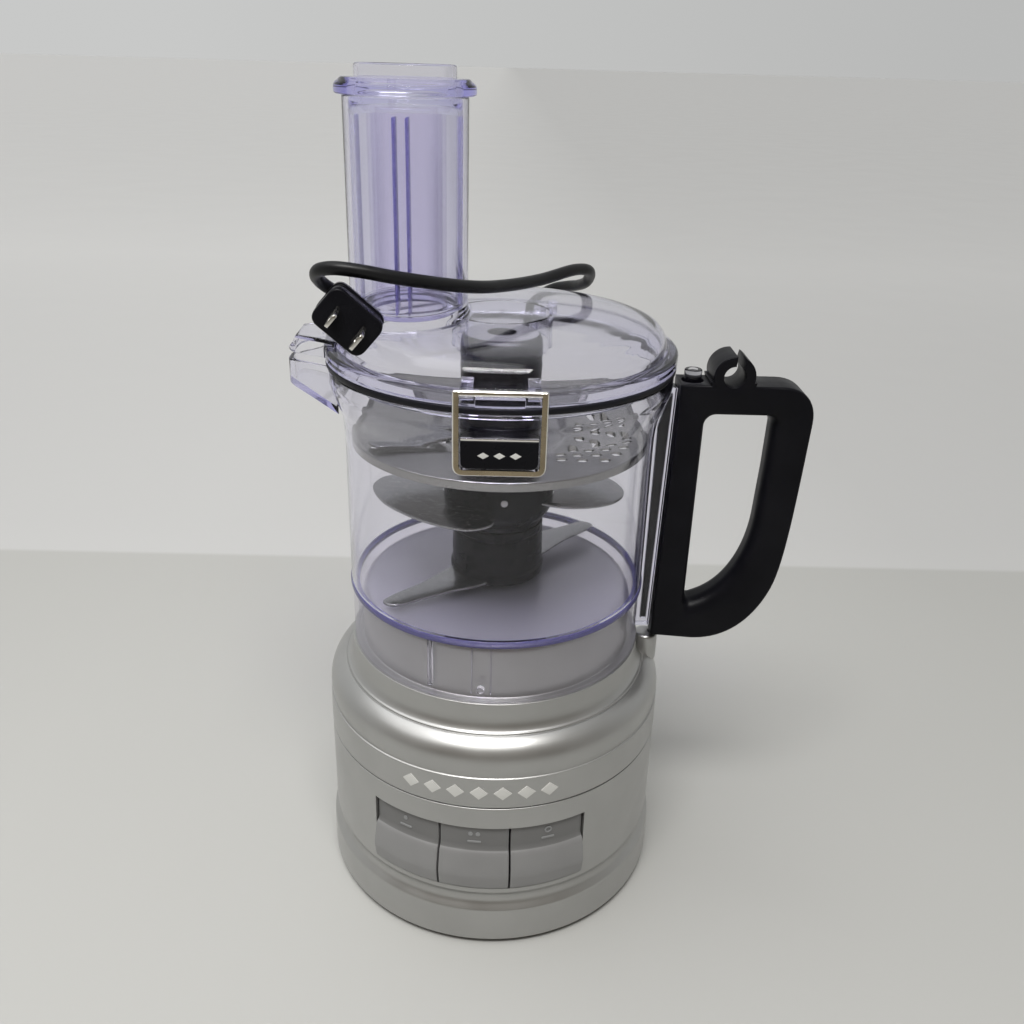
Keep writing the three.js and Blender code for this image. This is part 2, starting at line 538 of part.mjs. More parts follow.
// ---------------------------------------------------------------- lead and plug
// The lead leaves the gland, lies in one loop behind the base, climbs the back of the bowl,
// and crosses the lid in front of the feed tube to its plug.
const LEAD_LOWER = [
  [0, 118.4, 17], [0, 126, 15.6], [-1.5, 136, 11.4], [-6, 146, 6.4], [-15, 155, 3.2], [-30, 162, 3],
  [-52, 166, 3], [-76, 165, 3], [-92, 156.4, 3], [-98, 142, 3], [-91, 127.6, 3], [-76, 120.8, 3],
  [-56, 117.6, 3], [-36, 115.4, 3], [-17, 113, 3], [-1, 110.2, 3.8], [9.4, 106.2, 9.4],
  [14.6, 102.4, 20], [16, 99.8, 36], [16.2, 98.8, 60], [16, 98.8, 100], [16, 98.8, 150],
  [16, 98.8, 200], [16, 98.8, 245], [16.2, 98.8, 282],
];
const LEAD_UPPER = [
  [16.2, 98.8, 282.6], [17.4, 98.6, 290], [21.4, 96.8, 298], [28.4, 91.6, 303.4], [35, 84.4, 306.4],
  [40.6, 75, 309], [44.2, 64.4, 313], [45.2, 55, 318.6], [43, 46, 322.8], [36.2, 37, 324.6],
  [18, 16, 323.4], [0, -8, 325], [-14.5, -27, 328.2], [-43, -49, 335.6], [-60, -54.4, 339.4],
  [-70, -54.4, 340.2], [-76.4, -50, 338.4], [-79, -43.6, 335], [-78.6, -37, 331],
  [-75.8, -32.2, 327.2], [-71.6, -30.2, 324.2], [-67.6, -32, 321.8], [-65.2, -36.2, 320.6],
  [-64.7, -41.1, 320.5],
];

function lead(points, sides = 8) {
  const curve = new THREE.CatmullRomCurve3(points.map((p) => new THREE.Vector3(...p)), false, 'centripetal');
  const section = new THREE.Shape();
  section.absarc(0, 0, CORD_RADIUS, 0, 2 * Math.PI);
  const steps = Math.round(curve.getLength() / (6 * CORD_RADIUS));
  const outline = new THREE.Shape(section.getSpacedPoints(sides).slice(0, sides));
  const body = new THREE.ExtrudeGeometry(outline, { steps, extrudePath: curve, bevelEnabled: false });
  return solid(body);
}
add('lead_lower', lead(LEAD_LOWER), RUBBER);
add('lead_upper', lead(LEAD_UPPER), RUBBER);

// The plug lies on the lid's edge with its blades towards the front, turned about its own axis.
const PLUG = { width: 26, height: 18.4, depth: 17, place: [-62.6, -70.4, 321.6] };
const PLUG_TURN = { spin: 41, tilt: -2, swing: 4 };

function inPlug(piece) {
  const spun = piece.rotate([0, PLUG_TURN.spin, 0]);
  return spun.rotate([PLUG_TURN.tilt, 0, PLUG_TURN.swing]).translate(PLUG.place);
}

function plugBody() {
  const { width, height, depth } = PLUG;
  const shape = new THREE.Shape();
  const [w, h, r] = [width / 2, height / 2, 4];
  shape.moveTo(-w + r, -h);
  shape.lineTo(w - r, -h);
  shape.quadraticCurveTo(w, -h, w, -h + r);
  shape.lineTo(w, h - r);
  shape.quadraticCurveTo(w, h, w - r, h);
  shape.lineTo(-w + r, h);
  shape.quadraticCurveTo(-w, h, -w, h - r);
  shape.lineTo(-w, -h + r);
  shape.quadraticCurveTo(-w, -h, -w + r, -h);
  const block = panel(shape, 0, depth);
  const grip = spigot(6.4, 4.4, depth - 1, depth + 12, 0, 0, 16);
  return inPlug(join(block, grip));
}
add('plug_body', plugBody(), BLACK);
[-6.35, 6.35].forEach((x, i) => {
  add(`plug_blade_${i + 1}`, inPlug(box(x - 0.75, x + 0.75, -17.4, -GAP, -3.2, 3.2)), STEEL);
});

export default group;
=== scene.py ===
"""Looks for the food processor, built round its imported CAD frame.

Shapes are written in millimetres in the CAD's frame: the drive axis is x = y = 0, the latch faces -Y,
the handle +X and the spout -X. MM turns them into Blender's metres.
"""
import math

import bmesh
import bpy
from mathutils import Matrix, Vector
from mathutils.geometry import interpolate_bezier


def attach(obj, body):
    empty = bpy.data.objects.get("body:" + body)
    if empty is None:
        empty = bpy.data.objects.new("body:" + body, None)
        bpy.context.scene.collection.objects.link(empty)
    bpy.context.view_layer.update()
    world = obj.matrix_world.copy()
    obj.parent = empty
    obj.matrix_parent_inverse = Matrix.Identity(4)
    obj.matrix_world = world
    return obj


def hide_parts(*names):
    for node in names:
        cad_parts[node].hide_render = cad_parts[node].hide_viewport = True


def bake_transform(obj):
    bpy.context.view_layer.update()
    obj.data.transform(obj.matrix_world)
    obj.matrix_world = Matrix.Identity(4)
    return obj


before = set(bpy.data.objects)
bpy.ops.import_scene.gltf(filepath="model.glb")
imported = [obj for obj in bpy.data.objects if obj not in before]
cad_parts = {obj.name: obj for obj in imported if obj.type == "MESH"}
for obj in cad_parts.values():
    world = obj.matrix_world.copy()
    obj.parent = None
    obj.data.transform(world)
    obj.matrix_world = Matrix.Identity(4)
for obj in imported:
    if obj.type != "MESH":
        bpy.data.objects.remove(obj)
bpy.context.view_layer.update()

MM = 0.001
SCENE = bpy.context.scene
FINE = 192  # sides of the large round pieces
MEDIUM = 96  # sides of the smaller round pieces and of the cutters

# ---- camera
CAMERA = {"place": (0.0, -0.4593, 0.4196), "pan": 0.90, "pitch": 24.88, "roll": 1.65, "lens": 34.28}


def make_camera():
    pan, pitch, roll = (math.radians(CAMERA[key]) for key in ("pan", "pitch", "roll"))
    forward = Vector((math.sin(pan) * math.cos(pitch), math.cos(pan) * math.cos(pitch), -math.sin(pitch)))
    level = Vector((math.cos(pan), -math.sin(pan), 0))
    upright = level.cross(forward)
    right = math.cos(roll) * level + math.sin(roll) * upright
    up = -math.sin(roll) * level + math.cos(roll) * upright
    data = bpy.data.cameras.new("camera")
    data.sensor_width = 36
    data.lens = CAMERA["lens"]
    data.clip_start = 0.01
    camera = bpy.data.objects.new("camera", data)
    SCENE.collection.objects.link(camera)
    turn = Matrix((right, up, -forward)).transposed()
    camera.matrix_world = Matrix.Translation(CAMERA["place"]) @ turn.to_4x4()
    SCENE.camera = camera


make_camera()


# ---- outlines
def rounded(points, closed=True, steps=5):
    """Points are (a, b) or (a, b, radius); a corner with a radius becomes a curve."""
    out = []
    count = len(points)
    for i, point in enumerate(points):
        here = Vector(point[:2])
        radius = point[2] if len(point) > 2 else 0
        inner = closed or 0 < i < count - 1
        if not radius or not inner:
            out.append(tuple(here))
            continue
        back = Vector(points[i - 1][:2]) - here
        ahead = Vector(points[(i + 1) % count][:2]) - here
        first = here + back.normalized() * min(radius, back.length * 0.49)
        last = here + ahead.normalized() * min(radius, ahead.length * 0.49)
        for step in range(steps + 1):
            t = step / steps
            out.append(tuple(first.lerp(here, t).lerp(here.lerp(last, t), t)))
    return out


def arc(centre, radius, start, end, steps):
    """Points round a centre, from one angle to another, in degrees."""
    angles = (math.radians(start + (end - start) * i / steps) for i in range(steps + 1))
    return [(centre[0] + radius * math.cos(a), centre[1] + radius * math.sin(a)) for a in angles]


def about(axis, degrees):
    return Matrix.Rotation(math.radians(degrees), 4, axis)


def shift(x, y, z):
    return Matrix.Translation((x * MM, y * MM, z * MM))


def panel(left, low, right, high, low_corner, high_corner, steps=5):
    """A rectangle, with one radius for its two lower corners and one for its upper ones."""
    corners = [(left, low, low_corner), (right, low, low_corner), (right, high, high_corner),
               (left, high, high_corner)]
    return rounded(corners, steps=steps)


def circle(radius, sides, centre=(0, 0)):
    return arc(centre, radius, 0, 360, sides)[:-1]


def bezier(start, first, second, end, steps=10):
    flat = [Vector((*p, 0)) for p in (start, first, second, end)]
    return [(p.x, p.y) for p in interpolate_bezier(*flat, steps + 1)]


def around(angle, radius):
    """A point at an angle from the front, towards the handle, in degrees."""
    turn = math.radians(angle)
    return radius * math.sin(turn), -radius * math.cos(turn)


# ---- meshes
def linked(name, mesh):
    piece = bpy.data.objects.new(name, mesh)
    SCENE.collection.objects.link(piece)
    return piece


def tidy(mesh):
    bm = bmesh.new()
    bm.from_mesh(mesh)
    bmesh.ops.remove_doubles(bm, verts=bm.verts, dist=2e-6)
    bmesh.ops.dissolve_degenerate(bm, edges=bm.edges, dist=1e-6)
    bmesh.ops.recalc_face_normals(bm, faces=bm.faces)
    bm.to_mesh(mesh)
    bm.free()


def evaluated(piece):
    """The mesh of a piece with its modifiers or its curve worked out."""
    bpy.context.view_layer.update()
    return bpy.data.meshes.new_from_object(piece.evaluated_get(bpy.context.evaluated_depsgraph_get()))


def loft(name, rings, closed=False):
    """Skin over rings of (x, y, z) points, all of one length, where a ring of one point is a tip."""
    points, faces, starts = [], [], []
    for ring in rings:
        starts.append(len(points))
        points += [[c * MM for c in p] for p in ring]
    pairs = list(zip(range(len(rings)), range(1, len(rings))))
    if closed:
        pairs.append((len(rings) - 1, 0))
    for a, b in pairs:
        few, many = len(rings[a]), len(rings[b])
        sides = max(few, many)
        for i in range(sides):
            j = (i + 1) % sides
            corners = [starts[a] + i % few, starts[a] + j % few, starts[b] + j % many, starts[b] + i % many]
            faces.append(list(dict.fromkeys(corners)))
    if not closed:
        for index in (0, -1):
            if len(rings[index]) > 2:
                face = list(range(starts[index], starts[index] + len(rings[index])))
                faces.append(face)
    mesh = bpy.data.meshes.new(name)
    mesh.from_pydata(points, [], faces)
    tidy(mesh)
    return linked(name, mesh)


def turned(name, profile, sides=144, centre=(0, 0), steps=5):
    """A profile of (radius, height) or (radius, height, corner radius), turned about Z."""
    solid = profile[0][0] == 0
    outline = rounded(profile, closed=not solid, steps=steps)
    rings = []
    for radius, height in outline:
        if radius < 1e-6:
            rings.append([(*centre, height)])
            continue
        rings.append([(x, y, height) for x, y in circle(radius, sides, centre)])
    return loft(name, rings, closed=not solid)


def drum(name, radius, low, high, sides=MEDIUM, centre=(0, 0)):
    """A plain upright cylinder, mostly to cut with."""
    return turned(name, [(0, low), (radius, low), (radius, high), (0, high)], sides, centre)


def oval_turned(name, profile, half_x, half_y, centre, sides=120):
    """A profile of (offset, height, corner radius) run round an oval; an offset of None is its middle."""
    solid = profile[0][0] is None
    flat = [(p[0] if p[0] is not None else -half_x, *p[1:]) for p in profile]
    rings = []
    for offset, height in rounded(flat, closed=not solid):
        if offset <= -half_x + 1e-6:
            rings.append([(*centre, height)])
            continue
        wide, deep = half_x + offset, half_y + offset
        ring = [(centre[0] + x * wide, centre[1] + y * deep, height) for x, y in circle(1, sides)]
        rings.append(ring)
    return loft(name, rings, closed=not solid)


def slab(name, outlines, low, high, edge=0.0, plane="xy", steps=3):
    """Outlines filled between two depths, with rounded rims; later outlines are holes."""
    curve = bpy.data.curves.new(name, "CURVE")
    curve.dimensions = "2D"
    curve.fill_mode = "BOTH"
    curve.extrude = ((high - low) / 2 - edge) * MM
    curve.bevel_depth = edge * MM
    curve.bevel_resolution = steps
    curve.offset = -edge * MM
    for outline in outlines:
        spline = curve.splines.new("POLY")
        spline.points.add(len(outline) - 1)
        for point, (x, y) in zip(spline.points, outline):
            point.co = (x * MM, y * MM, 0, 1)
        spline.use_cyclic_u = True
    draft = linked(name, curve)
    mesh = evaluated(draft)
    bpy.data.objects.remove(draft)
    middle = (low + high) / 2
    mesh.transform(shift(0, middle, 0) @ about("X", 90) if plane == "xz" else shift(0, 0, middle))
    tidy(mesh)
    return linked(name, mesh)


def block(name, low, high, edge=0.4, steps=2):
    """A box between two corners, with rounded edges."""
    mesh = bpy.data.meshes.new(name)
    bm = bmesh.new()
    bmesh.ops.create_cube(bm, size=1)
    size = [h - l for l, h in zip(low, high)]
    middle = [(h + l) / 2 * MM for l, h in zip(low, high)]
    bmesh.ops.scale(bm, vec=[s * MM for s in size], verts=bm.verts)
    bmesh.ops.translate(bm, vec=middle, verts=bm.verts)
    if edge:
        bmesh.ops.bevel(bm, geom=bm.edges, offset=edge * MM, segments=steps, profile=0.5, affect="EDGES")
    bm.to_mesh(mesh)
    bm.free()
    return linked(name, mesh)


def rod(name, radius, start, end, sides=40, edge=0.3):
    """A round bar between two points, with softened ends."""
    a, b = Vector(start), Vector(end)
    length = (b - a).length
    piece = turned(name, [(0, 0), (radius, 0, edge), (radius, length, edge), (0, length)], sides)
    turn = (b - a).to_track_quat("Z", "Y").to_matrix().to_4x4()
    piece.data.transform(Matrix.Translation(a * MM) @ turn)
    return piece


def combined(base, tools, operation):
    for tool in tools:
        modifier = base.modifiers.new("combine", "BOOLEAN")
        modifier.operation = operation
        modifier.solver = "MANIFOLD"
        modifier.object = tool
    mesh = evaluated(base)
    base.modifiers.clear()
    base.data = mesh
    for tool in tools:
        bpy.data.objects.remove(tool)
    tidy(mesh)
    return base


def joined(base, *tools):
    return combined(base, tools, "UNION")


def cut(base, *tools):
    return combined(base, tools, "DIFFERENCE")


def bevelled(piece, width, angle=40, steps=2):
    modifier = piece.modifiers.new("edges", "BEVEL")
    modifier.width = width * MM
    modifier.segments = steps
    modifier.limit_method = "ANGLE"
    modifier.angle_limit = math.radians(angle)
    modifier.harden_normals = False
    mesh = evaluated(piece)
    piece.modifiers.clear()
    piece.data = mesh
    return piece


def moved(piece, matrix):
    piece.data.transform(matrix)
    return piece


def place(piece, body, look, nodes=(), smooth=32):
    """Gives a piece its material, shading and body, and hides the CAD nodes that it stands for."""
    piece.data.materials.clear()
    for material in look if isinstance(look, (list, tuple)) else [look]:
        piece.data.materials.append(material)
    piece.data.shade_smooth()
    piece.data.set_sharp_from_angle(angle=math.radians(smooth))
    if body:
        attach(piece, body)
    if nodes:
        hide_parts(*nodes)
    return piece


# ---- materials
MIX_A, MIX_B, MIX_RESULT = 6, 7, 2  # the colour sockets of a Mix node


class Nodes:
    """A node tree under construction."""

    def __init__(self, tree):
        self.tree = tree

    def node(self, kind, **values):
        made = self.tree.nodes.new(kind)
        for key, value in values.items():
            setattr(made, key, value)
        return made

    def join(self, output, target):
        self.tree.links.new(output, target)

    def spread(self, value, low, high, start=0.3, end=0.7):
        ramp = self.node("ShaderNodeMapRange")
        for key, number in (("From Min", start), ("From Max", end), ("To Min", low), ("To Max", high)):
            ramp.inputs[key].default_value = number
        self.join(value, ramp.inputs["Value"])
        return ramp.outputs["Result"]

    def mixed(self, value, first, second, start=0.3, end=0.7):
        mix = self.node("ShaderNodeMix", data_type="RGBA")
        mix.inputs[MIX_A].default_value = (*first, 1)
        mix.inputs[MIX_B].default_value = (*second, 1)
        self.join(self.spread(value, 0, 1, start, end), mix.inputs[0])
        return mix.outputs[MIX_RESULT]


class Look(Nodes):
    """A material under construction, with its Principled shader ready."""

    def __init__(self, name, color, roughness, **values):
        self.material = bpy.data.materials.new(name)
        self.material.use_nodes = True
        super().__init__(self.material.node_tree)
        self.shader = self.tree.nodes["Principled BSDF"]
        self.output = self.tree.nodes["Material Output"]
        self.shader.inputs["Base Color"].default_value = (*color, 1)
        self.shader.inputs["Roughness"].default_value = roughness
        for key, value in values.items():
            self.shader.inputs[key.replace("_", " ")].default_value = value
        self.place = self.node("ShaderNodeTexCoord").outputs["Object"]

    def noise(self, scale, detail=3, stretch=(1, 1, 1)):
        mapping = self.node("ShaderNodeMapping")
        mapping.inputs["Scale"].default_value = stretch
        self.join(self.place, mapping.inputs["Vector"])
        texture = self.node("ShaderNodeTexNoise")
        texture.inputs["Scale"].default_value = scale
        texture.inputs["Detail"].default_value = detail
        self.join(mapping.outputs["Vector"], texture.inputs["Vector"])
        return texture.outputs["Fac"]

    def rough(self, value, low, high):
        self.join(self.spread(value, low, high), self.shader.inputs["Roughness"])

    def tint(self, value, first, second):
        self.join(self.mixed(value, first, second), self.shader.inputs["Base Color"])

    def bump(self, value, depth, strength=0.5):
        """Depth is the height of the relief in millimetres."""
        relief = self.node("ShaderNodeBump")
        relief.inputs["Strength"].default_value = strength
        relief.inputs["Distance"].default_value = depth * MM
        self.join(value, relief.inputs["Height"])
        self.join(relief.outputs["Normal"], self.shader.inputs["Normal"])

    def radius(self):
        """Distance from the drive axis, in metres."""
        flat = self.node("ShaderNodeVectorMath", operation="MULTIPLY")
        flat.inputs[1].default_value = (1, 1, 0)
        self.join(self.place, flat.inputs[0])
        length = self.node("ShaderNodeVectorMath", operation="LENGTH")
        self.join(flat.outputs[0], length.inputs[0])
        return length.outputs["Value"]

    def circles(self, scale):
        """Fine concentric lines, as turning or polishing leaves."""
        texture = self.node("ShaderNodeTexNoise", noise_dimensions="1D")
        texture.inputs["Scale"].default_value = scale
        texture.inputs["Detail"].default_value = 4
        self.join(self.radius(), texture.inputs["W"])
        return texture.outputs["Fac"]

    def see_through(self, value, color, clear_first=False):
        """Mixes the surface with a clear one: at 1 it is clear, or at 0 if the clear one comes first."""
        clear = self.node("ShaderNodeBsdfTransparent")
        clear.inputs["Color"].default_value = (*color, 1)
        pair = [self.shader.outputs[0], clear.outputs[0]]
        if clear_first:
            pair.reverse()
        mix = self.node("ShaderNodeMixShader")
        for output, target in zip([value] + pair, mix.inputs):
            self.join(output, target)
        self.join(mix.outputs[0], self.output.inputs["Surface"])


def metallic_paint():
    look = Look("metallic_paint", (0.42, 0.42, 0.415), 0.36, Metallic=0.88, Coat_Weight=0.12,
                Coat_Roughness=0.18)
    look.tint(look.noise(26, 5), (0.40, 0.40, 0.393), (0.44, 0.44, 0.432))
    look.rough(look.noise(60, 4), 0.33, 0.4)
    look.bump(look.noise(3200, 2), 0.012, 0.35)
    return look.material


def clear_plastic(name="clear_plastic", tint=(0.68, 0.65, 0.98), density=42, ior=1.34):
    """Clear moulding whose tint grows with its thickness, and which lets light through its shadow."""
    look = Look(name, (0.985, 0.985, 1.0), 0.03, IOR=ior, Transmission_Weight=1)
    look.rough(look.noise(90, 5), 0.015, 0.06)
    look.bump(look.noise(38, 2), 0.03, 0.05)
    absorb = look.node("ShaderNodeVolumeAbsorption")
    absorb.inputs["Color"].default_value = (*tint, 1)
    absorb.inputs["Density"].default_value = density
    look.join(absorb.outputs["Volume"], look.output.inputs["Volume"])
    shadow = look.node("ShaderNodeLightPath").outputs["Is Shadow Ray"]
    look.see_through(shadow, (0.93, 0.92, 0.97))
    return look.material


def film(name, tint, face, edge):
    """Thin clear plastic: nearly invisible face on, tinted where it is seen edge on."""
    look = Look(name, tint, 0.08)
    look.rough(look.noise(90, 5), 0.05, 0.12)
    look.bump(look.noise(38, 2), 0.03, 0.05)
    facing = look.node("ShaderNodeLayerWeight")
    facing.inputs["Blend"].default_value = 0.3
    opacity = look.spread(facing.outputs["Facing"], face, edge, 0.1, 1.0)
    look.see_through(opacity, (0.985, 0.98, 1), clear_first=True)
    return look.material


def black_plastic(name="black_plastic", low=0.3, high=0.42, grain=0.02):
    look = Look(name, (0.004, 0.004, 0.006), 0.36, Specular_IOR_Level=0.1)
    look.tint(look.noise(40, 3), (0.0035, 0.0035, 0.005), (0.006, 0.006, 0.008))
    look.rough(look.noise(120, 4), low, high)
    look.bump(look.noise(2600, 2), grain, 0.4)
    return look.material


def rubber(name, color, low, high):
    look = Look(name, color, 0.6, Specular_IOR_Level=0.2)
    look.rough(look.noise(300, 4), low, high)
    look.bump(look.noise(1500, 3), 0.03, 0.3)
    return look.material


def grey_plastic(name, color):
    look = Look(name, color, 0.42, Metallic=0.25)
    look.tint(look.noise(50, 4), color, tuple(c * 1.12 for c in color))
    look.rough(look.noise(200, 4), 0.36, 0.48)
    look.bump(look.noise(2400, 2), 0.015, 0.35)
    return look.material


def turned_steel():
    look = Look("turned_steel", (0.37, 0.365, 0.35), 0.2, Metallic=1)
    look.rough(look.circles(2400), 0.14, 0.26)
    look.bump(look.circles(1200), 0.003, 0.15)
    return look.material


def ground_steel():
    look = Look("ground_steel", (0.34, 0.34, 0.34), 0.22, Metallic=1)
    strokes = look.noise(420, 4, (1, 8, 1))
    look.rough(strokes, 0.18, 0.28)
    look.bump(strokes, 0.004, 0.12)
    return look.material


def chrome():
    look = Look("bright_chrome", (0.86, 0.84, 0.80), 0.06, Metallic=1)
    look.rough(look.noise(150, 4), 0.03, 0.12)
    look.bump(look.noise(60, 2), 0.015, 0.12)
    return look.material


def plain_metal(name, color, low, high, metallic=1.0):
    look = Look(name, color, low, Metallic=metallic)
    look.tint(look.noise(140, 4), color, tuple(c * 0.78 for c in color))
    look.rough(look.noise(320, 4), low, high)
    look.bump(look.noise(900, 3), 0.02, 0.3)
    return look.material


PAINT = metallic_paint()
CLEAR = clear_plastic()
THIN = clear_plastic("thin_clear", (0.71, 0.69, 0.97), 48, 1.16)
FILM = film("clear_film", (0.55, 0.55, 0.60), 0.012, 0.32)
VIOLET = film("violet_rib", (0.27, 0.25, 0.55), 0.34, 0.62)
EDGE = film("violet_edge", (0.10, 0.095, 0.24), 0.72, 0.9)
NAVY = black_plastic("navy_liner", 0.16, 0.26, 0.008)
BLACK = black_plastic()
HUB_BLACK = black_plastic("hub_black", 0.24, 0.34, 0.002)
GASKET = rubber("gasket_rubber", (0.006, 0.006, 0.009), 0.35, 0.5)
FOOT = rubber("foot_rubber", (0.02, 0.02, 0.02), 0.6, 0.8)
CORD = rubber("lead_pvc", (0.009, 0.009, 0.010), 0.3, 0.42)
PLUG = black_plastic("plug_pvc", 0.22, 0.34, 0.02)
KEY_TOP = grey_plastic("key_upper", (0.155, 0.155, 0.155))
KEY_FACE = grey_plastic("key_paddle", (0.24, 0.24, 0.242))
MARK = grey_plastic("pale_mark", (0.62, 0.62, 0.60))
KEY_MARK = grey_plastic("key_mark", (0.26, 0.265, 0.27))
STEEL = turned_steel()
BLADE = ground_steel()
CHROME = chrome()
# Painted reflection: a brown metal for the latch bail's flat front faces, in place of the warm room
# reflected in its chrome.
PAINTED_REFLECTION = plain_metal("latch_painted_reflection", (0.34, 0.28, 0.19), 0.2, 0.32)
NICKEL = plain_metal("plug_nickel", (0.78, 0.76, 0.71), 0.14, 0.3)
ZINC = plain_metal("zinc_steel", (0.5, 0.5, 0.5), 0.3, 0.5)
CAST = plain_metal("cast_alloy", (0.45, 0.46, 0.47), 0.4, 0.6)
BRONZE = plain_metal("sintered_bronze", (0.5, 0.33, 0.16), 0.35, 0.55)
WINDINGS = plain_metal("motor_windings", (0.38, 0.18, 0.09), 0.35, 0.6, 0.7)
BOARD = plain_metal("solder_mask", (0.02, 0.14, 0.05), 0.3, 0.5, 0.0)
SMOKE = clear_plastic("smoked_clear", (0.55, 0.55, 0.6), 160)


# ---- lead and plug
CORD_RADIUS = 2.9
GLAND_HEIGHT = 17
# The same route as the CAD's lead: out of the gland, one loop behind the base, up the back of the
# bowl, then over the lid and in front of the feed tube to the plug.
LEAD_LOWER = [
    (0, 118.4, 17), (0, 126, 15.6), (-1.5, 136, 11.4), (-6, 146, 6.4), (-15, 155, 3.2), (-30, 162, 3),
    (-52, 166, 3), (-76, 165, 3), (-92, 156.4, 3), (-98, 142, 3), (-91, 127.6, 3), (-76, 120.8, 3),
    (-56, 117.6, 3), (-36, 115.4, 3), (-17, 113, 3), (-1, 110.2, 3.8), (9.4, 106.2, 9.4),
    (14.6, 102.4, 20), (16, 99.8, 36), (16.2, 98.8, 60), (16, 98.8, 100), (16, 98.8, 150),
    (16, 98.8, 200), (16, 98.8, 245), (16.2, 98.8, 282),
]
LEAD_UPPER = [
    (16.2, 98.8, 282.6), (17.4, 98.6, 290), (21.4, 96.8, 298), (28.4, 91.6, 303.4), (35, 84.4, 306.4),
    (40.6, 75, 309), (44.2, 64.4, 313), (45.2, 55, 318.6), (43, 46, 322.8), (36.2, 37, 324.6),
    (18, 16, 323.4), (0, -8, 325), (-14.5, -27, 328.2), (-43, -49, 335.6), (-60, -54.4, 339.4),
    (-70, -54.4, 340.2), (-76.4, -50, 338.4), (-79, -43.6, 335), (-78.6, -37, 331),
    (-75.8, -32.2, 327.2), (-71.6, -30.2, 324.2), (-67.6, -32, 321.8), (-65.2, -36.2, 320.6),
    (-64.7, -41.1, 320.5),
]


def smooth_route(points, gap=1.6):
    """A centripetal Catmull-Rom curve through the points, as a close row of points."""
    knots = [Vector(p) for p in points]
    knots = [2 * knots[0] - knots[1]] + knots + [2 * knots[-1] - knots[-2]]
    out = []
    for a, b, c, d in zip(knots, knots[1:], knots[2:], knots[3:]):
        t1 = (b - a).length ** 0.5
        t2 = t1 + (c - b).length ** 0.5
        t3 = t2 + (d - c).length ** 0.5
        steps = max(2, round((c - b).length / gap))
        for i in range(steps):
            t = t1 + (t2 - t1) * i / steps
            ab = a.lerp(b, t / t1)
            bc = b.lerp(c, (t - t1) / (t2 - t1))
            cd = c.lerp(d, (t - t2) / (t3 - t2))
            abc = ab.lerp(bc, t / t2)
            bcd = bc.lerp(cd, (t - t1) / (t3 - t1))
            out.append(abc.lerp(bcd, (t - t1) / (t2 - t1)))
    out.append(knots[-2])
    return out


def tube(name, route, radius, sides=20):
    """A round tube along a row of points, without twist."""
    rings = []
    normal = None
    for i, here in enumerate(route):
        ahead = route[min(i + 1, len(route) - 1)] - route[max(i - 1, 0)]
        ahead.normalize()
        if normal is None:
            normal = ahead.orthogonal().normalized()
        normal = (normal - ahead * normal.dot(ahead)).normalized()
        side = ahead.cross(normal)
        turn = [2 * math.pi * k / sides for k in range(sides)]
        rings.append([here + radius * (math.cos(t) * normal + math.sin(t) * side) for t in turn])
    return loft(name, rings)


PLUG_AT = {"place": (-62.6, -70.4, 321.6), "spin": 41, "tilt": -2, "swing": 4}


def in_plug(piece):
    turn = (about("Z", PLUG_AT["swing"])
            @ about("X", PLUG_AT["tilt"])
            @ about("Y", PLUG_AT["spin"]))
    return moved(piece, Matrix.Translation(Vector(PLUG_AT["place"]) * MM) @ turn)


def make_plug():
    half_w, half_h, depth, corner = 13, 9.2, 17, 5
    face = panel(-half_w, -half_h, half_w, half_h, corner, corner, 8)
    body = slab("plug_moulding", [face], 0, depth, 1.1, "xz")
    around_face = [(x * 1.2, y * 1.2) for x, y in face]
    narrowed = [(x * 0.93, y * 0.9) for x, y in face]
    waist = slab("waist", [around_face, narrowed], 6.5, 13.5, 0.6, "xz")
    neck = turned("neck", [(0, depth - 2), (6.8, depth - 2), (6.4, depth + 1, 1), (4.6, depth + 11.6, 0.6),
                           (0, depth + 11.6)], 48)
    moved(neck, about("X", -90))
    body = joined(cut(body, waist), neck)
    place(in_plug(body), "lid", PLUG, ["plug_body"])
    tip = -17.4
    for number, x, half in ((1, -6.35, 3.2), (2, 6.35, 3.9)):
        outline = panel(-half, tip, half, -0.3, 1.6, 0)
        hole = circle(1.55, 20, (0, -13.6))
        blade = slab(f"prong_{number}", [outline, hole], x - 0.75, x + 0.75, 0.3, "xy", 2)
        moved(blade, shift(x, 0, 0) @ about("Y", 90) @ shift(0, 0, -x))
        place(in_plug(blade), "lid", NICKEL, [f"plug_blade_{number}"])
    return body


def make_lead():
    plug = make_plug()
    lower = smooth_route(LEAD_LOWER)
    piece = place(tube("lead_rise", lower, CORD_RADIUS), None, CORD, ["lead_lower"])
    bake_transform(piece)
    upper = smooth_route(LEAD_UPPER)
    piece = place(tube("lead_over_lid", upper, CORD_RADIUS), None, CORD, ["lead_upper"])
    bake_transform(piece)


make_lead()


# ---- base
def wedge(name, start, end, low, high, inner=60, outer=110, steps=24):
    """A block between two radii and two angles from the front."""
    front = [around(start + (end - start) * i / steps, outer) for i in range(steps + 1)]
    back = [around(start + (end - start) * i / steps, inner) for i in range(steps + 1)]
    return slab(name, [front + back[::-1]], low, high)


